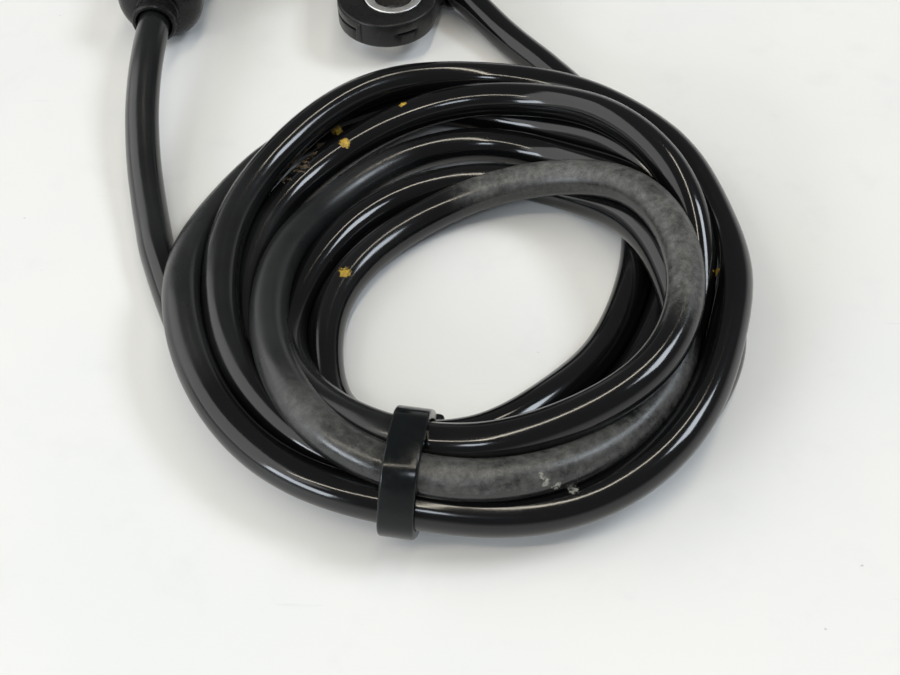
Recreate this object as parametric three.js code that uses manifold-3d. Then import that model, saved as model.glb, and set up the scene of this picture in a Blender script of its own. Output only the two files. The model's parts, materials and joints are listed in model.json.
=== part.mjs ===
// ABS wheel speed sensor: a moulded sensor head with its mounting eye, a jacketed cable wound
// into a tied coil, and a two-way connector with a rubber boot. Millimetres, +Z up.
// The origin is on the head's flat back face, on the axis of the barrel, which stands up.

import * as THREE from 'three';
import { mergeVertices } from 'three/addons/utils/BufferGeometryUtils.js';
import Module from 'manifold-3d';

const wasm = await Module();
wasm.setup();

// Clearances and fineness
const GAP = 0.3;                    // between pieces that touch on the real sensor
const OVERCUT = 1;                  // how far a cutter runs past the face that it cuts
const SIDES = 36;                   // facets round the larger turned forms
const SMALL_SIDES = 20;             // facets round the smaller ones
const EDGE = 0.5;                   // rounding of moulded plate edges

// Cable
const CABLE_DIAMETER = 5.5;
const CABLE_SIDES = 10;
const CORE_DIAMETER = 1.4;
const CORE_SIDES = 8;

// Sensor head: barrel, shoulder, lug and cable boss
const BARREL_RADIUS = 8.95;
const BARREL_LENGTH = 23;           // from the seating face to the open tip
const SHOULDER = 2.6;               // how far the body stands out past the barrel
const FLOOR = 2.2;                  // plastic under the cavity
const SEAT_SKIN = 0.4;              // plastic over the cable socket
const O_RING_SECTION = 1.8;
const O_RING_PROUD = 0.4;           // how far the free seal stands past the barrel
const O_RING_HEIGHT = 6;            // seal centre above the seating face
const GROOVE_WALL = 0.7;            // barrel wall left behind the seal groove
const BOLT_OFFSET = 22;             // barrel axis to bolt axis
const BOLT_HOLE_RADIUS = 3.5;
const BUSHING_WALL = 1.7;
const BUSHING_PROUD = 0.15;         // how far the bushing stands past the lug's faces
const LUG_WALL = 3.4;               // plastic round the bushing
const LUG_THICKNESS = 4.8;
const LUG_SHIFT = 1.2;              // lug's rim stands off the bolt axis, to -X
const LUG_GROOVE = 0.5;             // depth and height of the mould step round the lug
const LUG_RIB = 1.2;                // width of the upright rib on the lug's rim
const LUG_RIB_ANGLE = -122;         // degrees
const EXIT_ANGLE = -51.5;           // direction in which the cable leaves the head, degrees
const BOSS_REACH = 15.5;            // barrel axis to the boss's end face
const BOSS_WALL = 0.65;
const SOCKET_DEPTH = 6.5;
const SLEEVE_WALL = 0.7;
const SLEEVE_TIP_WALL = 0.35;
const SLEEVE_LENGTH = 9.2;
const CHANNEL_RADIUS = 2.3;         // passage of the two cores into the cavity
const TIP_THICKNESS = 1.5;
const TIP_PLUG = 2;

// Inside the barrel
const CHIP = { deep: 1.2, wide: 5, tall: 4 };
const CHIP_SETBACK = 0.8;           // below the carrier's top
const MAGNET = { deep: 2.6, wide: 4.4, tall: 4.4 };
const LEAD = { deep: 0.5, wide: 1.2 };
const LEAD_PITCH = 3.8;
const CRIMP = { deep: 1.8, wide: 1.8, tall: 4 };
const CRIMP_RISE = 2.4;             // crimp's foot above the seating face

// Coil of cable, open in the middle and wider away from the tie
const COIL_CENTRE = [9.7, -82.4];
const COIL_RADIUS = 45.1;
const COIL_HOLE_CENTRE = [12.6, -88.2];
const COIL_HOLE_RADIUS = 21.5;
const COIL_HEIGHT = 14;
const COIL_EDGE = 3;                // rounding of the bundle's outline

// Cable tie round the coil
const TIE_ANGLE = -98;              // degrees, about the coil's centre
const TIE_OUTER_REACH = 47.4;       // coil centre to the strap's outer face
const TIE_BUNDLE_WIDTH = 15.2;
const TIE_BUNDLE_HEIGHT = 13.2;
const TIE_CORNER = 5.2;
const STRAP_WIDTH = 4.6;
const STRAP_THICKNESS = 1.15;
const TIE_HEAD = { deep: 3.4, wide: 6.4, tall: 5 };
const TIE_TAIL = { deep: 1.1, wide: 3.6, long: 3.2 };

// Connector: boot, shroud and what they hold, along +Y from the boot's collar rim
const CONNECTOR_PLACE = [-42.1, -28.8];
const BOOT_RADIUS = 7.6;
const BOOT_LENGTH = 20;
const BOOT_SHOULDER = 7.2;          // collar rim to the full width
const BOOT_WALL = 0.8;
const BOOT_BORE_LENGTH = 6.3;
const COLLAR_WALL = 0.85;
const COLLAR_LENGTH = 1.6;
const HOUSING_SKIRT = 7;            // length of the spigot inside the boot
const SHROUD_WIDTH = 18.4;
const SHROUD_HEIGHT = 15.8;
const SHROUD_LENGTH = 23.5;
const SHROUD_WALL = 1.9;
const SHROUD_CORNER = 2.6;
const MOUTH_DEPTH = 16.8;
const LATCH = { wide: 6, tall: 1.5, long: 8, back: 4.5 };
const PIN_PITCH = 5.2;
const PIN_RADIUS = 0.75;
const PIN_REACH = 10.5;             // pin standing into the mouth
const PIN_BARREL_RADIUS = 1.2;
const PIN_BARREL_LENGTH = 6.2;
const SEAL_RADIUS = 2.1;
const SEAL_LENGTH = 5;
const RETAINER_THICKNESS = 1.6;
const LOCK_THICKNESS = 1.2;
const FACE_SEAL_WIDTH = 1.5;
const FACE_SEAL_LENGTH = 2.2;

// Cable routes, in the part's frame
const HEAD_TAIL = [
  [11.5, -14.5, 4.7],
  [13.9, -17.4, 4.5],
  [16.4, -20.5, 3.8],
  [19.0, -23.9, 3.2],
  [21.4, -27.0, 2.9],
  [23.7, -29.9, 2.8],
  [25.9, -32.7, 2.8],
  [28.6, -36.2, 2.8],
  [31.6, -40.2, 2.8],
  [34.6, -44.6, 2.8],
];
const CONNECTOR_TAIL = [
  [-42.0, -35.5, 7.8],
  [-41.8, -42.0, 7.2],
  [-41.3, -49.0, 6.1],
  [-40.5, -55.0, 5.1],
  [-39.4, -61.0, 4.2],
  [-38.0, -67.0, 3.4],
  [-36.4, -73.0, 2.9],
  [-34.6, -79.0, 2.8],
];

// Sizes that follow from those above
const cableRadius = CABLE_DIAMETER / 2;
const coreRadius = CORE_DIAMETER / 2;
const boreRadius = cableRadius + GAP;
const sleeveRadius = boreRadius + SLEEVE_WALL;
const socketRadius = sleeveRadius + GAP;
const bossRadius = socketRadius + BOSS_WALL;
const exitHeight = bossRadius;
const seatHeight = exitHeight + socketRadius + SEAT_SKIN;
const grooveDepth = O_RING_SECTION - O_RING_PROUD + GAP;
const cavityRadius = BARREL_RADIUS - grooveDepth - GROOVE_WALL;
const bodyRadius = BARREL_RADIUS + SHOULDER;
const bushingRadius = BOLT_HOLE_RADIUS + BUSHING_WALL;
const lugRadius = bushingRadius + GAP + LUG_WALL;
const lugBottom = seatHeight - LUG_THICKNESS;
const barrelTop = seatHeight + BARREL_LENGTH;
const plugBottom = barrelTop - TIP_PLUG;
const carrierTop = plugBottom - GAP;
const carrierBottom = FLOOR + GAP;
const chipTop = carrierTop - CHIP_SETBACK;
const chipBottom = chipTop - CHIP.tall;
const crimpBottom = seatHeight + CRIMP_RISE;
const crimpTop = crimpBottom + CRIMP.tall;
const socketBottom = BOSS_REACH - SOCKET_DEPTH;
const sleeveStart = socketBottom + GAP;
const mouthWidth = SHROUD_WIDTH - 2 * SHROUD_WALL;
const mouthHeight = SHROUD_HEIGHT - 2 * SHROUD_WALL;
const connectorHeight = SHROUD_HEIGHT / 2;
const collarRadius = boreRadius + COLLAR_WALL;
const bootCavityRadius = BOOT_RADIUS - BOOT_WALL;
const spigotRadius = bootCavityRadius - GAP;
const shroudStart = BOOT_LENGTH + GAP;
const spigotStart = shroudStart - HOUSING_SKIRT;
const shroudEnd = shroudStart + SHROUD_LENGTH;
const mouthFloor = shroudEnd - MOUTH_DEPTH;
const sealStart = spigotStart + GAP;
const sealEnd = sealStart + SEAL_LENGTH;
const sealBoreRadius = SEAL_RADIUS + GAP;
const pinStart = sealEnd + GAP;
const pinBarrelEnd = pinStart + PIN_BARREL_LENGTH;
const pinBoreRadius = PIN_BARREL_RADIUS + GAP;
const retainerEnd = spigotStart - GAP;
const retainerStart = retainerEnd - RETAINER_THICKNESS;
const lockStart = mouthFloor + GAP;
const faceSealStart = lockStart + LOCK_THICKNESS + GAP;
const cableEndInBoot = BOOT_BORE_LENGTH;
const loopCentreHeight = STRAP_THICKNESS + TIE_BUNDLE_HEIGHT / 2;
const loopCentreReach = TIE_OUTER_REACH - STRAP_THICKNESS - TIE_BUNDLE_WIDTH / 2;
const loopInnerReach = TIE_OUTER_REACH - 2 * STRAP_THICKNESS - TIE_BUNDLE_WIDTH;

const exitDirection = new THREE.Vector3(
  Math.cos(THREE.MathUtils.degToRad(EXIT_ANGLE)),
  Math.sin(THREE.MathUtils.degToRad(EXIT_ANGLE)),
  0,
);

// Conversions between three.js geometry and solids for cutting and joining
function toSolid(geometry) {
  const bare = new THREE.BufferGeometry();
  bare.setAttribute('position', geometry.getAttribute('position').clone());
  if (geometry.index) {
    bare.setIndex(geometry.index.clone());
  }
  const merged = mergeVertices(bare, 1e-4);
  const corners = merged.index.array;
  const kept = [];
  for (let i = 0; i < corners.length; i += 3) {
    const [a, b, c] = [corners[i], corners[i + 1], corners[i + 2]];
    if (a !== b && b !== c && c !== a) {
      kept.push(a, b, c);
    }
  }
  const mesh = new wasm.Mesh({
    numProp: 3,
    vertProperties: new Float32Array(merged.getAttribute('position').array),
    triVerts: new Uint32Array(kept),
  });
  return new wasm.Manifold(mesh);
}

function toGeometry(solid) {
  const mesh = solid.getMesh();
  const geometry = new THREE.BufferGeometry();
  geometry.setAttribute('position', new THREE.BufferAttribute(new Float32Array(mesh.vertProperties), 3));
  geometry.setIndex(new THREE.BufferAttribute(new Uint32Array(mesh.triVerts), 1));
  geometry.computeVertexNormals();
  return geometry;
}

// Basic forms
function turned(profile, sides = SIDES) {
  const points = profile.map(([radius, height]) => new THREE.Vector2(radius, height));
  return new THREE.LatheGeometry(points, sides).rotateX(Math.PI / 2);
}

function rod(radius, from, to, sides = SIDES) {
  return turned([[0, from], [radius, from], [radius, to], [0, to]], sides);
}

function collarOf(inner, outer, from, to, sides = SIDES) {
  return turned([[inner, from], [outer, from], [outer, to], [inner, to], [inner, from]], sides);
}

function block(wide, deep, tall, x, y, z) {
  return new THREE.BoxGeometry(wide, deep, tall).translate(x, y, z);
}

function plate(shape, thickness, edge = EDGE) {
  const rounding = Math.min(edge, thickness / 3);
  return new THREE.ExtrudeGeometry(shape, {
    depth: thickness - 2 * rounding,
    bevelEnabled: true,
    bevelThickness: rounding,
    bevelSize: rounding,
    bevelOffset: -rounding,
    bevelSegments: 2,
    curveSegments: 8,
  }).translate(0, 0, rounding);
}

function disc(radius) {
  const shape = new THREE.Shape();
  shape.absarc(0, 0, radius, 0, 2 * Math.PI);
  return shape;
}

function roundedRectangle(wide, tall, corner) {
  const [x, y] = [wide / 2, tall / 2];
  const shape = new THREE.Shape();
  shape.absarc(x - corner, y - corner, corner, 0, Math.PI / 2);
  shape.absarc(corner - x, y - corner, corner, Math.PI / 2, Math.PI);
  shape.absarc(corner - x, corner - y, corner, Math.PI, 1.5 * Math.PI);
  shape.absarc(x - corner, corner - y, corner, 1.5 * Math.PI, 2 * Math.PI);
  shape.closePath();
  return shape;
}

// Outline round a large circle at the origin and a smaller one at [x, y], with straight flanks
function hullOutline(largeRadius, smallRadius, [x, y]) {
  const distance = Math.hypot(x, y);
  const heading = Math.atan2(y, x);
  const spread = Math.acos((largeRadius - smallRadius) / distance);
  const shape = new THREE.Shape();
  shape.absarc(0, 0, largeRadius, heading + spread, heading - spread + 2 * Math.PI);
  shape.absarc(x, y, smallRadius, heading - spread, heading + spread);
  shape.closePath();
  return shape;
}

function tube(points, radius, sides, steps) {
  const path = new THREE.CatmullRomCurve3(points.map(([x, y, z]) => new THREE.Vector3(x, y, z)));
  const section = new THREE.Shape();
  for (let i = 0; i < sides; i += 1) {
    const angle = 2 * Math.PI * i / sides;
    const [x, y] = [radius * Math.cos(angle), radius * Math.sin(angle)];
    if (i === 0) {
      section.moveTo(x, y);
    } else {
      section.lineTo(x, y);
    }
  }
  section.closePath();
  return new THREE.ExtrudeGeometry(section, { steps, extrudePath: path, bevelEnabled: false });
}

// Places
function alongExit(geometry) {
  return geometry
    .rotateY(Math.PI / 2)
    .rotateZ(THREE.MathUtils.degToRad(EXIT_ANGLE))
    .translate(0, 0, exitHeight);
}

function alongConnector(geometry) {
  return geometry
    .rotateX(-Math.PI / 2)
    .translate(CONNECTOR_PLACE[0], CONNECTOR_PLACE[1], connectorHeight);
}

function onExit(reach, aside = 0, rise = 0) {
  const side = new THREE.Vector3(-exitDirection.y, exitDirection.x, 0);
  const place = exitDirection.clone().multiplyScalar(reach).addScaledVector(side, aside);
  return [place.x, place.y, exitHeight + rise];
}

// Sensor head
function headHousing() {
  const body = toSolid(plate(disc(bodyRadius), seatHeight));
  const lugPlate = plate(hullOutline(bodyRadius, lugRadius, [-LUG_SHIFT, -BOLT_OFFSET]), LUG_THICKNESS);
  const lug = toSolid(lugPlate.translate(0, 0, lugBottom));
  const grooveHeight = seatHeight + O_RING_HEIGHT;
  const grooveHalf = O_RING_SECTION / 2 + GAP;
  const barrel = toSolid(turned([
    [0, FLOOR],
    [BARREL_RADIUS, FLOOR],
    [BARREL_RADIUS, grooveHeight - grooveHalf],
    [BARREL_RADIUS - grooveDepth, grooveHeight - grooveHalf],
    [BARREL_RADIUS - grooveDepth, grooveHeight + grooveHalf],
    [BARREL_RADIUS, grooveHeight + grooveHalf],
    [BARREL_RADIUS, barrelTop - EDGE],
    [BARREL_RADIUS - EDGE, barrelTop],
    [0, barrelTop],
  ]));
  const boss = toSolid(alongExit(rod(bossRadius, 0, BOSS_REACH)));
  const aboveSeat = toSolid(block(
    4 * BOSS_REACH, 4 * BOSS_REACH, bossRadius, 0, 0, seatHeight + bossRadius / 2,
  ));
  const rib = toSolid(lugRib());
  const cableSide = toSolid(alongExit(cableRelief()));
  const cavity = toSolid(rod(cavityRadius, FLOOR, barrelTop + OVERCUT));
  const bolt = toSolid(rod(bushingRadius + GAP, lugBottom - OVERCUT, seatHeight + OVERCUT)
    .translate(0, -BOLT_OFFSET, 0));
  const step = toSolid(lugStep());
  const socket = toSolid(alongExit(rod(socketRadius, socketBottom, BOSS_REACH + OVERCUT)));
  const channel = toSolid(alongExit(rod(CHANNEL_RADIUS, cavityRadius / 2, socketBottom + OVERCUT)));
  const outside = body.add(lug).subtract(step).add(rib).add(boss.subtract(aboveSeat)).add(barrel);
  return toGeometry(
    outside.subtract(cableSide).subtract(cavity).subtract(bolt).subtract(socket).subtract(channel),
  );
}

// Room beside the lug for the sleeve and the cable, straight on from the boss's end face
function cableRelief() {
  const length = BOLT_OFFSET;
  return block(4 * seatHeight, 2 * socketRadius, length, 0, 0, BOSS_REACH + length / 2);
}

// Shallow mould step round the lug's rim, cut as a ring that stays clear of the body
function lugStep() {
  const height = lugBottom + LUG_THICKNESS / 2;
  return collarOf(lugRadius - LUG_GROOVE, lugRadius + OVERCUT, height, height + LUG_GROOVE)
    .translate(-LUG_SHIFT, -BOLT_OFFSET, 0);
}

function lugRib() {
  const angle = THREE.MathUtils.degToRad(LUG_RIB_ANGLE);
  const reach = lugRadius - LUG_RIB / 3;
  return block(LUG_RIB, LUG_RIB, LUG_THICKNESS - 2 * EDGE, reach, 0, lugBottom + LUG_THICKNESS / 2)
    .rotateZ(angle)
    .translate(-LUG_SHIFT, -BOLT_OFFSET, 0);
}

function mountBushing() {
  const [bottom, top] = [lugBottom - BUSHING_PROUD, seatHeight + BUSHING_PROUD];
  const chamfer = BUSHING_WALL / 5;
  return turned([
    [BOLT_HOLE_RADIUS, bottom],
    [bushingRadius, bottom],
    [bushingRadius, top],
    [BOLT_HOLE_RADIUS + chamfer, top],
    [BOLT_HOLE_RADIUS, top - chamfer],
    [BOLT_HOLE_RADIUS, bottom],
  ]).translate(0, -BOLT_OFFSET, 0);
}

function headORing() {
  const minor = O_RING_SECTION / 2;
  const major = BARREL_RADIUS + O_RING_PROUD - minor;
  return new THREE.TorusGeometry(major, minor, CABLE_SIDES, SIDES)
    .translate(0, 0, seatHeight + O_RING_HEIGHT);
}

function tipCap() {
  const flangeBottom = barrelTop + GAP;
  return turned([
    [0, plugBottom],
    [cavityRadius - GAP, plugBottom],
    [cavityRadius - GAP, flangeBottom],
    [BARREL_RADIUS - EDGE, flangeBottom],
    [BARREL_RADIUS - EDGE, flangeBottom + TIP_THICKNESS - EDGE],
    [BARREL_RADIUS - 2 * EDGE, flangeBottom + TIP_THICKNESS],
    [0, flangeBottom + TIP_THICKNESS],
  ]);
}

function elementCarrier() {
  const column = toSolid(rod(cavityRadius - GAP, carrierBottom, carrierTop));
  const front = toSolid(block(
    2 * cavityRadius, 4 * cavityRadius, 2 * barrelTop, cavityRadius, 0, barrelTop,
  ));
  const pocket = toSolid(block(
    2 * (MAGNET.deep + GAP), MAGNET.wide + 2 * GAP, MAGNET.tall + 2 * GAP, 0, 0, chipTop - MAGNET.tall / 2,
  ));
  return toGeometry(column.subtract(front).subtract(pocket));
}

function hallChip() {
  return block(CHIP.deep, CHIP.wide, CHIP.tall, GAP + CHIP.deep / 2, 0, chipTop - CHIP.tall / 2);
}

function biasMagnet() {
  return block(MAGNET.deep, MAGNET.wide, MAGNET.tall, -MAGNET.deep / 2, 0, chipTop - MAGNET.tall / 2);
}

function leadFrame(side) {
  const [bottom, top] = [crimpTop + GAP, chipBottom - GAP];
  return block(
    LEAD.deep, LEAD.wide, top - bottom, GAP + LEAD.deep / 2, side * LEAD_PITCH / 2, (bottom + top) / 2,
  );
}

function headCrimp(side) {
  return block(
    CRIMP.deep, CRIMP.wide, CRIMP.tall,
    GAP + CRIMP.deep / 2, side * LEAD_PITCH / 2, crimpBottom + CRIMP.tall / 2,
  );
}

function headCore(side) {
  const aside = side * (coreRadius + GAP);
  const crimpX = GAP + CRIMP.deep / 2;
  const crimpY = side * LEAD_PITCH / 2;
  const inside = onExit(cavityRadius * 0.8, aside);
  const turn = [
    (inside[0] + crimpX) / 2,
    (inside[1] + crimpY) / 2,
    (exitHeight + crimpBottom) / 2,
  ];
  return tube([
    onExit(socketBottom, aside),
    onExit((socketBottom + cavityRadius) / 2, aside),
    inside,
    turn,
    [crimpX, crimpY, crimpBottom - CORE_DIAMETER],
    [crimpX, crimpY, crimpBottom - GAP],
  ], coreRadius, CORE_SIDES, 16);
}

function headStrainRelief() {
  return alongExit(turned([
    [boreRadius, sleeveStart],
    [sleeveRadius, sleeveStart],
    [sleeveRadius, BOSS_REACH + GAP],
    [boreRadius + SLEEVE_TIP_WALL, sleeveStart + SLEEVE_LENGTH],
    [boreRadius, sleeveStart + SLEEVE_LENGTH],
    [boreRadius, sleeveStart],
  ]));
}

// Cable
const headRoute = [onExit(sleeveStart), ...HEAD_TAIL];
const connectorRoute = [
  [CONNECTOR_PLACE[0], CONNECTOR_PLACE[1] + cableEndInBoot, connectorHeight],
  [CONNECTOR_PLACE[0], CONNECTOR_PLACE[1], connectorHeight],
  ...CONNECTOR_TAIL,
];

function cableTail(route, radius) {
  return tube(route, radius, CABLE_SIDES, 2 * route.length);
}

// Local frame of the tie: X runs outward from the coil's centre, Z is up
function atTie(geometry) {
  return geometry
    .rotateZ(THREE.MathUtils.degToRad(TIE_ANGLE))
    .translate(COIL_CENTRE[0], COIL_CENTRE[1], 0);
}

// A ring-shaped outline that lies across the bundle, extruded along the cable's direction
function acrossBundle(wide, tall, corner, length) {
  const outline = roundedRectangle(wide, tall, corner);
  return new THREE.ExtrudeGeometry(outline, { depth: length, bevelEnabled: false, curveSegments: 8 })
    .translate(0, 0, -length / 2)
    .rotateX(Math.PI / 2)
    .translate(loopCentreReach, 0, loopCentreHeight);
}

function cableCoil() {
  const outline = new THREE.Shape();
  outline.absarc(COIL_CENTRE[0], COIL_CENTRE[1], COIL_RADIUS, 0, 2 * Math.PI);
  const hole = new THREE.Path();
  hole.absarc(COIL_HOLE_CENTRE[0], COIL_HOLE_CENTRE[1], COIL_HOLE_RADIUS, 0, 2 * Math.PI);
  outline.holes.push(hole);
  const ring = toSolid(new THREE.ExtrudeGeometry(outline, {
    depth: COIL_HEIGHT - 2 * COIL_EDGE,
    bevelThickness: COIL_EDGE,
    bevelSize: COIL_EDGE,
    bevelOffset: -COIL_EDGE,
    bevelSegments: 3,
    curveSegments: SIDES,
  }).translate(0, 0, COIL_EDGE));
  const slotWidth = STRAP_WIDTH + 2 * GAP;
  const band = toSolid(atTie(block(
    COIL_RADIUS, slotWidth, 4 * COIL_HEIGHT, TIE_OUTER_REACH - COIL_RADIUS / 4, 0, COIL_HEIGHT / 2,
  )));
  const core = toSolid(atTie(acrossBundle(
    TIE_BUNDLE_WIDTH - 2 * GAP, TIE_BUNDLE_HEIGHT - 2 * GAP, TIE_CORNER - GAP, slotWidth + 2 * OVERCUT,
  )));
  const head = toSolid(atTie(tieHead(GAP)));
  const tails = [headRoute, connectorRoute].map((route) => toSolid(cableTail(route, boreRadius)));
  return toGeometry(ring.subtract(band.subtract(core)).subtract(head).subtract(tails[0]).subtract(tails[1]));
}

function tieHead(clearance = 0) {
  const deep = TIE_HEAD.deep + STRAP_THICKNESS / 2;
  return block(
    deep + 2 * clearance, TIE_HEAD.wide + 2 * clearance, TIE_HEAD.tall + 2 * clearance,
    loopInnerReach + STRAP_THICKNESS / 2 - deep / 2, 0, loopCentreHeight - TIE_HEAD.tall / 4,
  );
}

function cableTie() {
  const outer = toSolid(acrossBundle(
    TIE_BUNDLE_WIDTH + 2 * STRAP_THICKNESS, TIE_BUNDLE_HEIGHT + 2 * STRAP_THICKNESS,
    TIE_CORNER + STRAP_THICKNESS, STRAP_WIDTH,
  ));
  const inner = toSolid(acrossBundle(
    TIE_BUNDLE_WIDTH, TIE_BUNDLE_HEIGHT, TIE_CORNER, STRAP_WIDTH + 2 * OVERCUT,
  ));
  const head = toSolid(tieHead());
  const headTop = loopCentreHeight + TIE_HEAD.tall / 4;
  const tail = toSolid(block(
    TIE_TAIL.deep, TIE_TAIL.wide, TIE_TAIL.long + OVERCUT,
    loopInnerReach - TIE_HEAD.deep / 2, 0, headTop + (TIE_TAIL.long - OVERCUT) / 2,
  ));
  return atTie(toGeometry(outer.subtract(inner).add(head).add(tail)));
}

// Connector, along its own axis from the boot's collar rim
function connectorBoot() {
  const shoulder = [];
  const steps = 6;
  for (let i = 0; i <= steps; i += 1) {
    const angle = (Math.PI / 2) * (i / steps);
    shoulder.push([
      collarRadius + (BOOT_RADIUS - collarRadius) * Math.sin(angle),
      COLLAR_LENGTH + (BOOT_SHOULDER - COLLAR_LENGTH) * (1 - Math.cos(angle)),
    ]);
  }
  return alongConnector(turned([
    [boreRadius, 0],
    [collarRadius, 0],
    ...shoulder,
    [BOOT_RADIUS, BOOT_LENGTH],
    [bootCavityRadius, BOOT_LENGTH],
    [bootCavityRadius, BOOT_SHOULDER + BOOT_WALL],
    [boreRadius, BOOT_BORE_LENGTH],
    [boreRadius, 0],
  ]));
}

function connectorHousing() {
  const spigot = toSolid(rod(spigotRadius, spigotStart, shroudStart + OVERCUT));
  const shroudShape = roundedRectangle(SHROUD_WIDTH, SHROUD_HEIGHT, SHROUD_CORNER);
  const shroud = toSolid(plate(shroudShape, SHROUD_LENGTH).translate(0, 0, shroudStart));
  const mouthCorner = Math.max(SHROUD_CORNER - SHROUD_WALL, SHROUD_CORNER / 4);
  const mouth = toSolid(new THREE.ExtrudeGeometry(
    roundedRectangle(mouthWidth, mouthHeight, mouthCorner),
    { depth: MOUTH_DEPTH + OVERCUT, bevelEnabled: false, curveSegments: 4 },
  ).translate(0, 0, mouthFloor));
  let solid = shroud.add(spigot).add(toSolid(latchRamp())).subtract(mouth);
  solid = withTwoHoles(solid, sealBoreRadius, spigotStart, pinStart - OVERCUT);
  solid = withTwoHoles(solid, pinBoreRadius, pinStart, mouthFloor);
  return alongConnector(toGeometry(solid));
}

// Ramp on top of the shroud that the mating latch snaps over. The connector's -Y side faces up.
function latchRamp() {
  const ramp = new THREE.Shape();
  const top = SHROUD_HEIGHT / 2;
  const front = shroudEnd - LATCH.back;
  ramp.moveTo(front, top - EDGE);
  ramp.lineTo(front, top);
  ramp.lineTo(front - LATCH.long + EDGE, top + LATCH.tall);
  ramp.lineTo(front - LATCH.long, top + LATCH.tall);
  ramp.lineTo(front - LATCH.long, top - EDGE);
  ramp.closePath();
  return new THREE.ExtrudeGeometry(ramp, { depth: LATCH.wide, bevelEnabled: false })
    .translate(0, 0, -LATCH.wide / 2)
    .rotateY(-Math.PI / 2)
    .rotateZ(Math.PI);
}

function withTwoHoles(solid, holeRadius, from, to) {
  let pierced = solid;
  for (const side of [-1, 1]) {
    const hole = rod(holeRadius, from - OVERCUT, to + OVERCUT, SMALL_SIDES);
    pierced = pierced.subtract(toSolid(hole.translate(side * PIN_PITCH / 2, 0, 0)));
  }
  return pierced;
}

function rearRetainer() {
  const plug = toSolid(rod(spigotRadius, retainerStart, retainerEnd));
  return alongConnector(toGeometry(withTwoHoles(plug, coreRadius + GAP, retainerStart, retainerEnd)));
}

function wireSeal(side) {
  const rib = (SEAL_RADIUS - coreRadius) / 5;
  const profile = [[coreRadius + GAP, sealStart]];
  const ribs = 3;
  for (let i = 0; i < ribs; i += 1) {
    const from = sealStart + SEAL_LENGTH * i / ribs;
    profile.push([SEAL_RADIUS - rib, from]);
    profile.push([SEAL_RADIUS, from + SEAL_LENGTH / ribs / 2]);
  }
  profile.push([SEAL_RADIUS - rib, sealEnd]);
  profile.push([coreRadius + GAP, sealEnd]);
  profile.push([coreRadius + GAP, sealStart]);
  return alongConnector(turned(profile, SMALL_SIDES).translate(side * PIN_PITCH / 2, 0, 0));
}

function connectorPin(side) {
  const tip = mouthFloor + PIN_REACH;
  return alongConnector(turned([
    [0, pinStart],
    [PIN_BARREL_RADIUS, pinStart],
    [PIN_BARREL_RADIUS, pinBarrelEnd],
    [PIN_RADIUS, pinBarrelEnd + PIN_BARREL_RADIUS - PIN_RADIUS],
    [PIN_RADIUS, tip - PIN_RADIUS],
    [PIN_RADIUS / 2, tip],
    [0, tip],
  ], SMALL_SIDES).translate(side * PIN_PITCH / 2, 0, 0));
}

function terminalLock() {
  const shape = roundedRectangle(mouthWidth - 2 * GAP, mouthHeight - 2 * GAP, EDGE);
  const lock = toSolid(new THREE.ExtrudeGeometry(shape, {
    depth: LOCK_THICKNESS, bevelEnabled: false, curveSegments: 4,
  }).translate(0, 0, lockStart));
  return alongConnector(toGeometry(withTwoHoles(lock, pinBoreRadius, lockStart, faceSealStart)));
}

function interfaceSeal() {
  const wide = mouthWidth - 2 * GAP;
  const tall = mouthHeight - 2 * GAP;
  const outer = toSolid(new THREE.ExtrudeGeometry(roundedRectangle(wide, tall, EDGE), {
    depth: FACE_SEAL_LENGTH, bevelEnabled: false, curveSegments: 4,
  }).translate(0, 0, faceSealStart));
  const inside = roundedRectangle(wide - 2 * FACE_SEAL_WIDTH, tall - 2 * FACE_SEAL_WIDTH, EDGE);
  const inner = toSolid(new THREE.ExtrudeGeometry(inside, {
    depth: FACE_SEAL_LENGTH + 2 * OVERCUT, bevelEnabled: false, curveSegments: 4,
  }).translate(0, 0, faceSealStart - OVERCUT));
  return alongConnector(toGeometry(outer.subtract(inner)));
}

function connectorCore(side) {
  const start = cableEndInBoot + GAP;
  const places = [
    [coreRadius + GAP, start],
    [coreRadius + 2 * GAP, start + CORE_DIAMETER],
    [PIN_PITCH / 2, retainerStart - CORE_DIAMETER / 2],
    [PIN_PITCH / 2, (retainerStart + pinStart) / 2],
    [PIN_PITCH / 2, pinStart - GAP],
  ];
  return tube(places.map(([aside, along]) => [
    CONNECTOR_PLACE[0] + side * aside,
    CONNECTOR_PLACE[1] + along,
    connectorHeight,
  ]), coreRadius, CORE_SIDES, 16);
}

// Finishes
const finish = {
  blackNylon: { color: 0x191a1a, roughness: 0.55 },
  steel: { color: 0xb9bcbd, roughness: 0.35, metalness: 1 },
  rubber: { color: 0x121313, roughness: 0.7 },
  jacket: { color: 0x0d0d0e, roughness: 0.25 },
  greenRubber: { color: 0x3f6b58, roughness: 0.7 },
  magnet: { color: 0x4a4a4d, roughness: 0.4, metalness: 0.8 },
  epoxy: { color: 0x1c1d22, roughness: 0.5 },
  tin: { color: 0xc9c8c2, roughness: 0.35, metalness: 1 },
  whiteCore: { color: 0xd9d7cf, roughness: 0.5 },
  brownCore: { color: 0x54372a, roughness: 0.5 },
  palePlastic: { color: 0xb8b3a2, roughness: 0.6 },
};

const sensor = new THREE.Group();

function addPiece(name, geometry, look) {
  const mesh = new THREE.Mesh(geometry, new THREE.MeshStandardMaterial(look));
  mesh.name = name;
  sensor.add(mesh);
}

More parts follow.
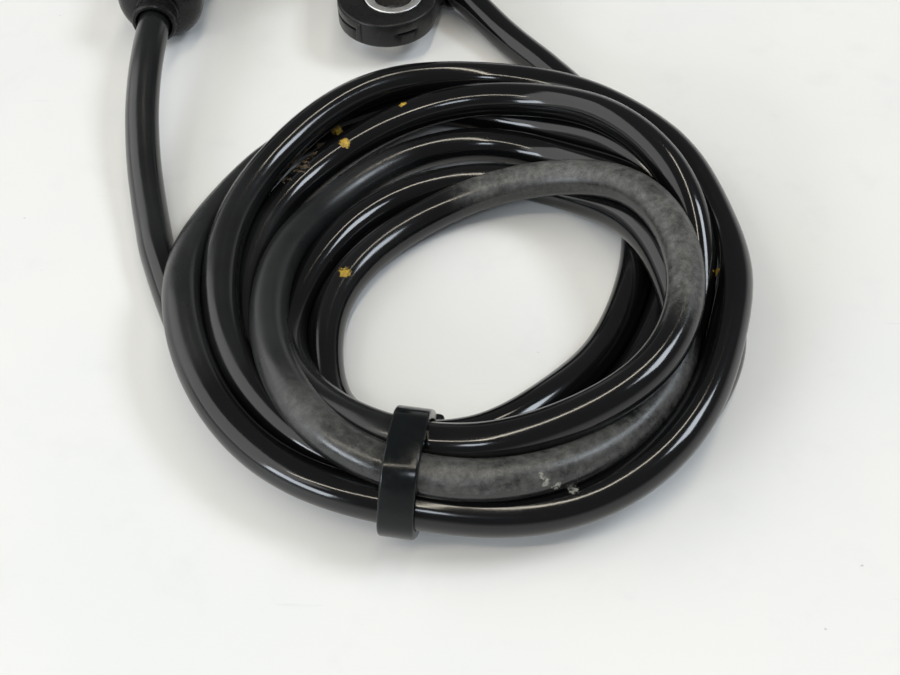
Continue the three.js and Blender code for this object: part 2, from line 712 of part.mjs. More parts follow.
addPiece('head_housing', headHousing(), finish.blackNylon);
addPiece('mount_bushing', mountBushing(), finish.steel);
addPiece('head_o_ring', headORing(), finish.rubber);
addPiece('tip_cap', tipCap(), finish.blackNylon);
addPiece('element_carrier', elementCarrier(), finish.palePlastic);
addPiece('hall_chip', hallChip(), finish.epoxy);
addPiece('bias_magnet', biasMagnet(), finish.magnet);
addPiece('head_strain_relief', headStrainRelief(), finish.rubber);
for (const [letter, side] of [['a', 1], ['b', -1]]) {
  const core = side > 0 ? finish.whiteCore : finish.brownCore;
  addPiece(`lead_frame_${letter}`, leadFrame(side), finish.tin);
  addPiece(`head_crimp_${letter}`, headCrimp(side), finish.tin);
  addPiece(`head_core_${letter}`, headCore(side), core);
  addPiece(`wire_seal_${letter}`, wireSeal(side), finish.greenRubber);
  addPiece(`pin_${letter}`, connectorPin(side), finish.tin);
  addPiece(`connector_core_${letter}`, connectorCore(side), core);
}
addPiece('cable_to_sensor', cableTail(headRoute, cableRadius), finish.jacket);
addPiece('cable_coil', cableCoil(), finish.jacket);
addPiece('cable_to_connector', cableTail(connectorRoute, cableRadius), finish.jacket);
addPiece('cable_tie', cableTie(), finish.blackNylon);
addPiece('connector_boot', connectorBoot(), finish.rubber);
addPiece('connector_housing', connectorHousing(), finish.blackNylon);
addPiece('rear_retainer', rearRetainer(), finish.blackNylon);
addPiece('terminal_lock', terminalLock(), finish.palePlastic);
addPiece('interface_seal', interfaceSeal(), finish.greenRubber);

export default sensor;
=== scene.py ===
"""Used wheel speed sensor: moulded head, hand-wound cable held by a tie, connector with a boot."""
import json
import math

import bmesh
import bpy
import numpy as np
from mathutils import Matrix, Vector
from mathutils.bvhtree import BVHTree


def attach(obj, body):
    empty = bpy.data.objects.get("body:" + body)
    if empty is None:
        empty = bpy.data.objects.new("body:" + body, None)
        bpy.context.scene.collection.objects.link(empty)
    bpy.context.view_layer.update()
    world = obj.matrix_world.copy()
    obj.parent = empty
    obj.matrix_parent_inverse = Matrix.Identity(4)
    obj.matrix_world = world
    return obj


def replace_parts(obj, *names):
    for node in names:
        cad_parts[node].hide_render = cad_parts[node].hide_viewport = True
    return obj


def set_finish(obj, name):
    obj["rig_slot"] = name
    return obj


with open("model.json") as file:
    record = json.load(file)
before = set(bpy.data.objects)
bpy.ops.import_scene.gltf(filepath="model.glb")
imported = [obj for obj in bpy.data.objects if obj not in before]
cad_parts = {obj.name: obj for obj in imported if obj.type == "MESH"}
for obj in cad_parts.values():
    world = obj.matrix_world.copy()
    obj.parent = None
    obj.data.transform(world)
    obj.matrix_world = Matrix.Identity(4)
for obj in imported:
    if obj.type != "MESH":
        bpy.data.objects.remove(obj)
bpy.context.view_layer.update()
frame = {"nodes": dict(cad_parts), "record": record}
NODES = frame["nodes"]
BODY = "root"
MM = 0.001

# Camera, as in the photograph
PICTURE_WIDTH = 900
PICTURE_HEIGHT = 675
FOCAL_PIXELS = 1170
SENSOR_WIDTH = 36
VIEW_TILT = math.radians(52)        # below the horizontal
VIEW_POINT = (10.2, -92.8, 0)
VIEW_DISTANCE = 173.6
NEAREST_VIEW = 0.005                # metres
FARTHEST_VIEW = 10

# Sizes that the part's source gives, in millimetres
CABLE_DIAMETER = 5.5
CABLE_RADIUS = CABLE_DIAMETER / 2
GAP = 0.3
BARREL_RADIUS = 8.95
BODY_RADIUS = 11.55
SEAT_HEIGHT = 9.15
BARREL_TOP = 32.15
FLOOR_SKIN = 2.2
O_RING_SECTION = 1.8
O_RING_PROUD = 0.4
O_RING_HEIGHT = 6
CAVITY_RADIUS = 6.55
BOLT_OFFSET = 22
BOLT_HOLE_RADIUS = 3.5
BUSHING_RADIUS = 5.2
BUSHING_PROUD = 0.15
LUG_RADIUS = 8.9
LUG_SHIFT = 1.2
LUG_THICKNESS = 4.8
LUG_BOTTOM = SEAT_HEIGHT - LUG_THICKNESS
LUG_GROOVE = 0.5
LUG_RIB = 1.2
LUG_RIB_ANGLE = -122                # degrees, like the ends of the lug's short groove
SHORT_GROOVE = (-78, -50)
EDGE = 0.5
CRUSH_RIB = (0.7, 1.1, 11.5)        # out, wide, tall
CRUSH_RIB_DROP = 7.6                # its middle, below the barrel's top
CRUSH_RIBS = 4
CAP_THICKNESS = 1.5
CAP_DISH = 0.12
CAP_PLUG = 2
EXIT_ANGLE = math.radians(-51.5)
EXIT_HEIGHT = 4.7
BOSS_RADIUS = 4.7
BOSS_REACH = 15.5
SOCKET_RADIUS = 4.05
SLEEVE_START = 9.3
SLEEVE_RADIUS = 3.75
SLEEVE_LENGTH = 9.2
SLEEVE_TIP_RADIUS = 3.4
SLEEVE_BORE = 3.05
SLEEVE_RIBS = 3
SLEEVE_NECK = 0.22
CONNECTOR_PLACE = (-42.1, -28.8, 7.9)
BOOT_RADIUS = 7.6
BOOT_LENGTH = 20
BOOT_SHOULDER = 7.2
BOOT_WALL = 0.8
BOOT_BORE_LENGTH = 6.3
BOOT_BEADS = (11.5, 14.5)
BEAD_DEPTH = 0.35
COLLAR_RADIUS = 3.9
COLLAR_NECK = 0.35
COLLAR_END = 3.7
DOME_END = BOOT_SHOULDER + 0.6
SHROUD_WIDTH = 18.4
SHROUD_START = 20.3
SHROUD_EDGE = 0.22
GRIP_RIB = (0.9, 8.6, 0.9)          # out, tall, along
GRIP_RIBS = 5
GRIP_START = 3.2
GRIP_PITCH = 1.9
COIL_CENTRE = (9.7, -82.4)
TIE_ANGLE = math.radians(-98)
TIE_REACH = 38.65                   # coil centre to the middle of the bundle
STRAP_WIDTH = 4.6
STRAP_THICKNESS = 1.15
STRAP_EDGE = 0.32
STRAP_EASE = 0.35                   # between the strands and the strap, before it is rounded
STRAP_SOFTENING = 12                # passes that round it
STRAP_POINTS = 96
TIE_SHIFT = 0.35                    # along the cable, from the drawn tie
TIE_LEAN = math.radians(-1)
TIE_HEAD = (3.0, 6.0, 3.6)          # deep, wide, tall
TIE_HEAD_HEIGHT = 2.0               # it lies behind the bundle, near the table
TIE_HEAD_SINK = 0.3
TIE_HEAD_ROUNDING = 0.55
TIE_SLOT_PLAY = 0.5
TIE_TAIL = (1.1, 3.6, 0.6)          # deep, wide, past the head
TAIL_TEETH = 12
TAIL_TOOTH = 0.28

# Cable route: two free tails, repeated from the part's source, and the turns between them
HEAD_START = (5.79, -7.28, 4.7)
HEAD_TAIL = [
    (11.5, -14.5, 4.7), (13.9, -17.4, 4.5), (16.4, -20.5, 3.8), (19.0, -23.9, 3.2),
    (21.4, -27.0, 2.9), (23.7, -29.9, 2.8), (25.9, -32.7, 2.8), (28.6, -36.2, 2.8),
    (31.6, -40.2, 2.8), (34.6, -44.6, 2.8),
]
CONNECTOR_TAIL = [
    (-42.0, -35.5, 7.8), (-41.8, -42.0, 7.2), (-41.3, -49.0, 6.1), (-40.5, -55.0, 5.1),
    (-39.4, -61.0, 4.2), (-38.0, -67.0, 3.4), (-36.4, -73.0, 2.9), (-34.6, -79.0, 2.8),
]
CONNECTOR_END = [(-42.1, -28.8, 7.9), (-42.1, -22.5, 7.9)]
SPOOL_CENTRE = (12.6, -88.2)
TIE_BEARING = -104.4                # degrees, about the spool's centre
STATION_STEP = 30                   # degrees, clockwise from the tie
# Each turn: first station, reach from the spool's centre, height of the cable's middle
TURNS = [
    (7, [37.6, 29.6, 25.0, 23.8, 26.0],
        [2.8, 2.8, 2.8, 2.8, 4.8]),
    (0, [28.6, 28.8, 22.9, 18.2, 17.2, 18.2, 22.4, 27.6, 29.4, 31.4, 31.8, 32.0],
        [7.4, 4.0, 2.8, 2.8, 2.8, 5.2, 9.0, 9.2, 12.8, 13.2, 12.4, 11.4]),
    (0, [31.0, 29.6, 27.0, 24.8, 23.8, 24.4, 26.8, 28.4, 30.0, 32.4, 34.4, 35.4],
        [11.2, 8.4, 3.6, 2.8, 2.8, 2.8, 2.8, 3.2, 8.0, 8.2, 8.3, 10.0]),
    (0, [35.8, 33.0, 28.4, 27.2, 29.2, 32.6, 35.4, 34.0, 33.2, 29.0, 28.4, 29.8],
        [11.2, 11.0, 8.4, 6.6, 4.2, 2.9, 3.6, 7.4, 6.0, 2.8, 2.8, 3.4]),
    (0, [31.0, 32.6, 33.4, 35.0, 36.0, 39.0, 40.4, 36.8, 34.2, 33.4, 32.2, 32.4],
        [4.0, 3.0, 2.8, 2.8, 4.8, 8.2, 8.5, 10.0, 6.0, 2.8, 3.0, 5.0]),
    (0, [33.9, 35.6, 36.0, 37.4, 41.0, 45.2, 47.2, 42.6, 38.2, 37.6, 37.0, 37.2],
        [7.4, 5.5, 6.0, 7.4, 8.3, 8.5, 8.5, 9.0, 8.8, 8.4, 7.6, 7.0]),
    (0, [38.4, 37.8, 39.6, 41.0, 44.6, 43.4, 40.4, 36.2, 36.0, 35.8, 35.0, 34.4],
        [7.4, 8.0, 8.0, 8.0, 3.2, 2.8, 3.6, 7.6, 3.5, 2.8, 2.8, 3.2]),
    (0, [36.0, 36.8, 39.6],
        [4.0, 2.8, 2.8]),
]
TAIL_TURN = len(TURNS)

# Settling of the turns on the table and on each other
SPACING = 2.0
ROUNDS = 500
BUNDLE_PITCH = 4.9                  # aim between strands at the tie, where they end up closer
HEAD_PINNED = 18
CONNECTOR_PINNED = 46
ROUTE_SOFTENING = ((4, 10, 0.4), (2, 6, 0.4))       # span, passes, share
LAST_SOFTENING = (3, 4, 0.35)
STEP_SOFTENING = ((1, 0.5), (2, 0.4), (3, 0.3))     # span, share
NEAR_TIE = (40, 42)                 # along the cable, and from the bundle's middle
STRAP_LIFT_REACH = 5                # how far along the cable the tie's three effects reach
TIED_REACH = 7
PRESSED_REACH = 14
HOLD = (0.015, 0.2)                 # pull to the route, everywhere and at the tie
LIFT = (0.004, 0.2)
SAG = 0.012                         # millimetres a round
PUSH = 1.2
RING_SPACING = 1.1
CABLE_SIDES = 24

# Wear: turn, from station, to station, amount
SCUFFED = [(1, 5.5, 9.3, 1.0), (2, 9.4, 12.0, 0.85), (3, 0.0, 1.1, 0.6)]
MATT = [
    (1, 2.0, 4.5, 0.25), (2, 0.0, 2.0, 0.5), (3, 0.6, 4.8, 1.0), (4, 1.0, 3.5, 0.45),
    (5, 1.5, 3.6, 0.5), (6, 1.6, 4.0, 0.85), (8, 0.0, 20.0, 0.6),
]

# Paint flecks and dirt: pixel of the photograph, radius in millimetres
PAINT_FLECKS = [
    (337, 130, 1.0), (345, 143, 0.85), (345, 272, 0.95), (403, 104, 0.6), (717, 272, 0.6),
]
DIRT_SPOTS = [(300, 166, 1.5), (309, 156, 1.3), (320, 147, 1.0), (287, 180, 0.8)]
PALE_FLAKES = [(545, 482, 0.75), (557, 486, 0.6), (573, 489, 0.8), (541, 474, 0.35)]

PIECES = {}


def rgb(*values):
    return (*values, 1.0)


# Meshes
def piece_of(name, verts, faces, slot, smooth_angle=35):
    """Make an object from points in millimetres, and let it ride on the part's body."""
    mesh = bpy.data.meshes.new(name)
    mesh.from_pydata([tuple(float(c) * MM for c in v) for v in verts], [], [tuple(f) for f in faces])
    mesh.validate()
    return piece_from_mesh(name, mesh, slot, smooth_angle)


def piece_from_mesh(name, mesh, slot, smooth_angle=35):
    mesh.shade_smooth()
    mesh.set_sharp_from_angle(angle=math.radians(smooth_angle))
    piece = bpy.data.objects.new(name, mesh)
    bpy.context.scene.collection.objects.link(piece)
    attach(piece, BODY)
    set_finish(piece, slot)
    PIECES[name] = piece
    return piece


def outward(verts, faces):
    """The same closed surface with every face turned outward."""
    form = bmesh.new()
    made = [form.verts.new([float(c) for c in v]) for v in verts]
    for face in faces:
        if len(set(face)) > 2:
            form.faces.new([made[i] for i in dict.fromkeys(face)])
    bmesh.ops.remove_doubles(form, verts=form.verts, dist=1e-5)
    bmesh.ops.recalc_face_normals(form, faces=form.faces)
    form.verts.index_update()
    points = [tuple(v.co) for v in form.verts]
    corners = [tuple(v.index for v in f.verts) for f in form.faces]
    form.free()
    return points, corners


def skin(rings, points, closed=False):
    """Faces between rings that each have the same number of points."""
    faces = []
    for i in range(rings if closed else rings - 1):
        here, there = i * points, (i + 1) % rings * points
        for k in range(points):
            after = (k + 1) % points
            faces.append((here + k, here + after, there + after, there + k))
    return faces


def lathe(profile, sides=96):
    """Turn (radius, height) points about Z. A profile that ends where it starts is a closed ring."""
    verts = []
    for radius, height in profile:
        for k in range(sides):
            angle = 2 * math.pi * k / sides
            verts.append((radius * math.cos(angle), radius * math.sin(angle), height))
    return outward(verts, skin(len(profile), sides))


def loft(rings):
    """Skin rings that have the same number of points, and close both ends."""
    count = len(rings[0])
    verts = [p for ring in rings for p in ring]
    faces = skin(len(rings), count)
    faces.append(tuple(range(count)))
    faces.append(tuple(range(len(verts) - count, len(verts))))
    return outward(verts, faces)


def moved(form, matrix):
    verts, faces = form
    return [tuple(matrix @ Vector(v)) for v in verts], faces


def joined(*forms):
    verts, faces = [], []
    for points, corners in forms:
        start = len(verts)
        verts += list(points)
        faces += [tuple(i + start for i in face) for face in corners]
    return verts, faces


def rounded_edge(height, inset, rounding, steps=4):
    """(inset, height) points of a quarter round that ends at the given height, flank first."""
    points = []
    for i in range(steps + 1):
        angle = math.pi / 2 * i / steps
        rise = rounding * math.sin(angle)
        points.append((inset + rounding * (1 - math.cos(angle)), height - rounding + rise))
    return points


def solid_box(wide, deep, tall, centre):
    x, y, z = wide / 2, deep / 2, tall / 2
    ring = [(-x, -y), (x, -y), (x, y), (-x, y)]
    rings = [[(a + centre[0], b + centre[1], c + centre[2]) for a, b in ring] for c in (-z, z)]
    return loft(rings)


def scratch_object(form):
    mesh = bpy.data.meshes.new("form")
    mesh.from_pydata([tuple(float(c) * MM for c in v) for v in form[0]], [], form[1])
    made = bpy.data.objects.new("form", mesh)
    bpy.context.scene.collection.objects.link(made)
    return made


def combined(base, steps):
    """Join forms to the base or cut them from it, in millimetres, and return the mesh in metres."""
    body = scratch_object(base)
    others = []
    for operation, form in steps:
        other = scratch_object(form)
        others.append(other)
        change = body.modifiers.new("change", "BOOLEAN")
        change.operation = operation
        change.solver = "EXACT"
        change.object = other
    bpy.context.view_layer.update()
    shape = body.evaluated_get(bpy.context.evaluated_depsgraph_get())
    mesh = bpy.data.meshes.new_from_object(shape)
    for made in [body] + others:
        bpy.data.objects.remove(made)
    return mesh


def bevelled(piece, width, segments=2, angle=35):
    bevel = piece.modifiers.new("edges", "BEVEL")
    bevel.width = width * MM
    bevel.segments = segments
    bevel.limit_method = "ANGLE"
    bevel.angle_limit = math.radians(angle)
    bevel.harden_normals = True
    return piece


def moulded_copy(node, name, slot, width):
    """A copy of a CAD node with its flat faces merged and its edges rounded."""
    form = bmesh.new()
    form.from_mesh(NODES[node].data)
    bmesh.ops.remove_doubles(form, verts=form.verts, dist=1e-6)
    bmesh.ops.dissolve_limit(
        form, angle_limit=math.radians(1), verts=form.verts, edges=form.edges,
    )
    mesh = bpy.data.meshes.new(name)
    form.to_mesh(mesh)
    form.free()
    piece = piece_from_mesh(name, mesh, slot)
    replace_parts(piece, node)
    return bevelled(piece, width)


# Places
ALONG_EXIT = (
    Matrix.Translation((0, 0, EXIT_HEIGHT)) @ Matrix.Rotation(EXIT_ANGLE, 4, "Z")
    @ Matrix.Rotation(math.pi / 2, 4, "Y")
)
AT_BOLT = Matrix.Translation((0, -BOLT_OFFSET, 0))
ALONG_CONNECTOR = Matrix.Translation(CONNECTOR_PLACE) @ Matrix.Rotation(-math.pi / 2, 4, "X")
AT_TIE = (
    Matrix.Translation((*COIL_CENTRE, 0)) @ Matrix.Rotation(TIE_ANGLE, 4, "Z")
    @ Matrix.Translation((TIE_REACH, TIE_SHIFT, 0)) @ Matrix.Rotation(TIE_LEAN, 4, "Z")
    @ Matrix.Translation((-TIE_REACH, 0, 0))
)


# Camera
def add_camera():
    data = bpy.data.cameras.new("camera")
    data.sensor_width = SENSOR_WIDTH
    data.lens = FOCAL_PIXELS * SENSOR_WIDTH / PICTURE_WIDTH
    data.clip_start = NEAREST_VIEW
    data.clip_end = FARTHEST_VIEW
    camera = bpy.data.objects.new("camera", data)
    back = Vector((0, -math.cos(VIEW_TILT), math.sin(VIEW_TILT))) * VIEW_DISTANCE
    camera.location = (Vector(VIEW_POINT) + back) * MM
    camera.rotation_euler = (math.pi / 2 - VIEW_TILT, 0, 0)
    bpy.context.scene.collection.objects.link(camera)
    bpy.context.scene.camera = camera
    return camera


def ray_through(camera, x, y):
    """Start and direction, in metres, of the line of sight through a pixel of the photograph."""
    across = (x - PICTURE_WIDTH / 2) / FOCAL_PIXELS
    up = (PICTURE_HEIGHT / 2 - y) / FOCAL_PIXELS
    turn = camera.rotation_euler.to_matrix()
    return camera.location.copy(), (turn @ Vector((across, up, -1))).normalized()


# Cable route
def station_point(station, reach, height):
    bearing = math.radians(TIE_BEARING - STATION_STEP * station)
    x = SPOOL_CENTRE[0] + reach * math.cos(bearing)
    y = SPOOL_CENTRE[1] + reach * math.sin(bearing)
    return (x, y, height)


def route_points():
    """Route through the stations, and the (turn, station) of each point."""
    points = [HEAD_START] + HEAD_TAIL
    labels = [(-1, i) for i in range(len(points))]
    for turn, (first, reaches, heights) in enumerate(TURNS):
        for i, (reach, height) in enumerate(zip(reaches, heights)):
            points.append(station_point(first + i, reach, height))
            labels.append((turn, first + i))
    tail = CONNECTOR_TAIL[::-1] + CONNECTOR_END
    points += tail
    labels += [(TAIL_TURN, i) for i in range(len(tail))]
    return np.array(points), labels


def smooth_curve(points, per_span):
    """Centripetal Catmull-Rom curve through the points."""
    p = np.vstack([2 * points[0] - points[1], points, 2 * points[-1] - points[-2]])
    spans = []
    for i in range(1, len(p) - 2):
        p0, p1, p2, p3 = p[i - 1], p[i], p[i + 1], p[i + 2]
        t1 = max(np.linalg.norm(p1 - p0), 1e-6) ** 0.5
        t2 = t1 + max(np.linalg.norm(p2 - p1), 1e-6) ** 0.5
        t3 = t2 + max(np.linalg.norm(p3 - p2), 1e-6) ** 0.5
        t = np.linspace(t1, t2, per_span, endpoint=False)[:, None]
        a1 = (t1 - t) / t1 * p0 + t / t1 * p1
        a2 = (t2 - t) / (t2 - t1) * p1 + (t - t1) / (t2 - t1) * p2
        a3 = (t3 - t) / (t3 - t2) * p2 + (t - t2) / (t3 - t2) * p3
        b1 = (t2 - t) / t2 * a1 + t / t2 * a2
        b2 = (t3 - t) / (t3 - t1) * a2 + (t - t1) / (t3 - t1) * a3
        spans.append((t2 - t) / (t2 - t1) * b1 + (t - t1) / (t2 - t1) * b2)
    spans.append(p[-2][None])
    return np.vstack(spans)


def run_length(points):
    return np.concatenate([[0], np.cumsum(np.linalg.norm(np.diff(points, axis=0), axis=1))])


def resampled(points, spacing):
    run = run_length(points)
    at = np.linspace(0, run[-1], int(round(run[-1] / spacing)) + 1)
    return np.stack([np.interp(at, run, points[:, k]) for k in range(3)], 1)


def soften(line, s, share):
    """Ease each point towards the curve through the points s and 2 s away, which keeps the size."""
    mean = (-line[:-4 * s] + 4 * line[s:-3 * s] + 4 * line[3 * s:-s] - line[4 * s:]) / 6
    line[2 * s:-2 * s] += share * (mean - line[2 * s:-2 * s])


def tie_frame():
    out = np.array([math.cos(TIE_ANGLE), math.sin(TIE_ANGLE)])
    middle = np.array(COIL_CENTRE) + TIE_REACH * out
    return middle, out, np.array([-out[1], out[0]])


def at_tie(line):
    """Each point's distance along the cable from the tie, and whether it is near the tie."""
    middle, _, lengthwise = tie_frame()
    along = np.abs((line[:, :2] - middle) @ lengthwise)
    near = (along < NEAR_TIE[0]) & (np.linalg.norm(line[:, :2] - middle, axis=1) < NEAR_TIE[1])
    return along, near


def pushed_apart(line, pairs, clear):
    """How far each point moves to free the strands that pass into each other."""
    a, b = pairs[:, 0], pairs[:, 1]
    between = line[a] - line[b]
    distance = np.linalg.norm(between, axis=1)
    lack = np.minimum(clear[a], clear[b]) - distance
    hit = lack > 0
    a, b = a[hit], b[hit]
    push = between[hit] / np.maximum(distance[hit], 1e-6)[:, None] * lack[hit][:, None] / 2
    shift = np.zeros_like(line)
    touches = np.zeros(len(line))
    np.add.at(shift, a, push)
    np.add.at(shift, b, -push)
    np.add.at(touches, a, 1)
    np.add.at(touches, b, 1)
    return shift / np.maximum(touches, 1)[:, None]


def settled(rough):
    """Push strands out of each other and down to the table, near the given route."""
    goal = resampled(smooth_curve(rough, 12), SPACING)
    count = len(goal)
    index = np.arange(count)
    pinned = (index < HEAD_PINNED) | (index >= count - CONNECTOR_PINNED)
    for span, passes, share in ROUTE_SOFTENING:
        for _ in range(passes):
            kept = goal[pinned].copy()
            soften(goal, span, share)
            goal[pinned] = kept
    line = goal.copy()
    apart = np.triu(np.abs(index[:, None] - index[None, :]) * SPACING > 2.2 * CABLE_DIAMETER)
    along, near = at_tie(line)

    def effect(reach):
        return np.where(near, np.exp(-(along / reach) ** 2), 0.0)

    tied = effect(TIED_REACH)
    clear = CABLE_DIAMETER - (CABLE_DIAMETER - BUNDLE_PITCH) * effect(PRESSED_REACH)
    lowest = CABLE_RADIUS + STRAP_THICKNESS * effect(STRAP_LIFT_REACH)
    hold = HOLD[0] + HOLD[1] * tied
    lift = LIFT[0] + LIFT[1] * tied
    for step in range(ROUNDS):
        if step % 10 == 0:
            square = ((line[:, None] - line[None]) ** 2).sum(-1)
            pairs = np.argwhere(apart & (square < (CABLE_DIAMETER + 2) ** 2))
        line += PUSH * pushed_apart(line, pairs, clear)
        late = min(1.0, 1.6 * (1 - step / ROUNDS))
        for span, share in STEP_SOFTENING:
            soften(line, span, share if span == 1 else share * late)
        line[:, :2] += hold[:, None] * (goal[:, :2] - line[:, :2])
        line[:, 2] += lift * (goal[:, 2] - line[:, 2]) - SAG * (1 - tied)
        line[:, 2] = np.maximum(line[:, 2], lowest)
        line[pinned] = goal[pinned]
    span, passes, share = LAST_SOFTENING
    for _ in range(passes):
        soften(line, span, share)
        line[:, 2] = np.maximum(line[:, 2], lowest)
        line[pinned] = goal[pinned]
    return line


# Cable surface
def carried_frames(centres):
    """Side and up of each ring, turned as little as possible from one to the next."""
    tangents = np.gradient(centres, axis=0)
    tangents /= np.linalg.norm(tangents, axis=1)[:, None]
    side = np.cross(tangents[0], (0, 0, 1))
    side /= np.linalg.norm(side)
    sides = [side]
    for tangent in tangents[1:]:
        side = side - tangent * (side @ tangent)
        side = side / np.linalg.norm(side)
        sides.append(side)
    sides = np.array(sides)
    return sides, np.cross(sides, tangents)


def wear_along(run, marks, table, ease=9.0):
    """How worn the cable is at each length, from (turn, station, station, amount) rows."""
    amount = np.zeros(len(run))
    for turn, first, last, level in table:
        stations = [(station, at) for (t, station), at in marks if t == turn]
        known = [s for s, _ in stations]
        places = [at for _, at in stations]
        start, end = np.interp([first, last], known, places)
        if turn < TAIL_TURN and last > known[-1]:
            end += (last - known[-1]) * (places[-1] - places[-2])
        rise = np.clip((run - start) / ease + 0.5, 0, 1)
        fall = np.clip((end - run) / ease + 0.5, 0, 1)
        blend = np.minimum(rise, fall)
        amount = np.maximum(amount, level * blend * blend * (3 - 2 * blend))
    return amount


def add_cable():
    rough, labels = route_points()
    line = settled(rough)
    drawn = resampled(smooth_curve(rough, 12), SPACING)
    marks = []
    settled_run = run_length(line)
    for label, point in zip(labels, rough):
        nearest = int(np.linalg.norm(drawn - point, axis=1).argmin())
        marks.append((label, float(settled_run[nearest])))
    centres = resampled(smooth_curve(line, 4), RING_SPACING)
    run = run_length(centres)
    sides, ups = carried_frames(centres)
    angles = np.linspace(0, 2 * np.pi, CABLE_SIDES, endpoint=False)
    rings = (
        centres[:, None]
        + CABLE_RADIUS * np.cos(angles)[None, :, None] * sides[:, None]
        + CABLE_RADIUS * np.sin(angles)[None, :, None] * ups[:, None]
    )
    verts = [tuple(p) for p in rings.reshape(-1, 3)]
    faces = skin(len(centres), CABLE_SIDES)
    faces.append(tuple(range(CABLE_SIDES))[::-1])
    faces.append(tuple(range(len(verts) - CABLE_SIDES, len(verts))))
    cable = piece_of("cable", verts, faces, "cable_jacket", smooth_angle=60)
    for name, table in (("scuffed", SCUFFED), ("matt", MATT)):
        field = cable.data.attributes.new(name=name, type="FLOAT", domain="POINT")
        values = np.repeat(wear_along(run, marks, table), CABLE_SIDES)
        field.data.foreach_set("value", values.astype(np.float32))
    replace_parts(cable, "cable_to_sensor", "cable_coil", "cable_to_connector")
    return cable, centres


# Cable tie
def strand_crossings(centres):
    """Where the strands pass the tie's plane: reach from the coil's centre, and height."""
    middle, out, lengthwise = tie_frame()
    side = (centres[:, :2] - middle) @ lengthwise
    found = []
    for i in range(len(centres) - 1):
        if side[i] * side[i + 1] <= 0 and side[i] != side[i + 1]:
            share = side[i] / (side[i] - side[i + 1])
            point = centres[i] + share * (centres[i + 1] - centres[i])
            reach = (point[:2] - middle) @ out
            if abs(reach) < 14:
                found.append((TIE_REACH + reach, point[2]))
    return found


def snug_outline(crossings):
    """Outline of a band drawn tight round the strands, evenly spaced, counter-clockwise."""
    points = []
    radius = CABLE_RADIUS + STRAP_EASE
    sides = 2 * CABLE_SIDES
    for reach, height in crossings:
        for k in range(sides):
            angle = 2 * math.pi * k / sides
            points.append((reach + radius * math.cos(angle), height + radius * math.sin(angle)))
    points = sorted(set(points))

    def half(ordered):
        chain = []
        for p in ordered:
            while len(chain) > 1:
                (ax, ay), (bx, by) = chain[-2], chain[-1]
                if (bx - ax) * (p[1] - ay) - (by - ay) * (p[0] - ax) > 0:
                    break
                chain.pop()
            chain.append(p)
        return chain[:-1]

    hull = np.array(half(points) + half(points[::-1]))
    closed = np.vstack([hull, hull[:1]])
    run = run_length(closed)
    at = np.linspace(0, run[-1], STRAP_POINTS, endpoint=False)
    outline = np.stack([np.interp(at, run, closed[:, k]) for k in range(2)], 1)
    for _ in range(STRAP_SOFTENING):
        outline = (np.roll(outline, 1, 0) + 2 * outline + np.roll(outline, -1, 0)) / 4
    outline[:, 1] = np.maximum(outline[:, 1], STRAP_THICKNESS)
    return outline


def strap_section():
    """Section of the strap: (across the cable, out from the bundle), with rounded edges."""
    half = STRAP_WIDTH / 2
    rim = rounded_edge(STRAP_THICKNESS, 0, STRAP_EDGE)
    points = [(-half, 0.0), (half, 0.0)]
    points += [(half - inset, out) for inset, out in rim]
    points += [(inset - half, out) for inset, out in reversed(rim)]
    return points


def strap_form(outline):
    tangent = np.roll(outline, -1, 0) - np.roll(outline, 1, 0)
    tangent /= np.linalg.norm(tangent, axis=1)[:, None]
    normal = np.stack([tangent[:, 1], -tangent[:, 0]], 1)
    section = strap_section()
    verts = []
    for point, away in zip(outline, normal):
        for across, out in section:
            verts.append((point[0] + away[0] * out, across, point[1] + away[1] * out))
    return outward(verts, skin(len(outline), len(section), closed=True))


def rounded_block(wide, deep, tall, centre, rounding, steps=3):
    """Block with rounded upright edges and rounded rims."""
    rings = []
    rims = rounded_edge(tall / 2, 0, rounding, steps)
    levels = [(inset, -height) for inset, height in reversed(rims)] + rims
    for inset, height in levels:
        ring = []
        for corner in range(4):
            sx = 1 if corner in (0, 3) else -1
            sy = 1 if corner in (0, 1) else -1
            for k in range(steps + 1):
                angle = math.pi / 2 * (corner + k / steps)
                radius = rounding * 1.2 - min(inset, rounding)
                x = sx * (wide / 2 - rounding * 1.2) + radius * math.cos(angle)
                y = sy * (deep / 2 - rounding * 1.2) + radius * math.sin(angle)
                ring.append((centre[0] + x, centre[1] + y, centre[2] + height))
        rings.append(ring)
    return loft(rings)


def tail_profile(deep, low, high):
    """Side view of the tail: a plain back, a slanted tip and teeth."""
    valley = TAIL_TOOTH - deep / 2
    tip = high - 0.6
    profile = [(deep / 2, low), (deep / 2, high - 0.5), (deep / 2 - 0.5, high), (0.3 - deep / 2, high)]
    pitch = (tip - low) / TAIL_TEETH
    for i in range(TAIL_TEETH):
        crest = tip - i * pitch
        profile += [(-deep / 2, crest), (valley, crest - 0.75 * pitch)]
    return profile + [(valley, low)]


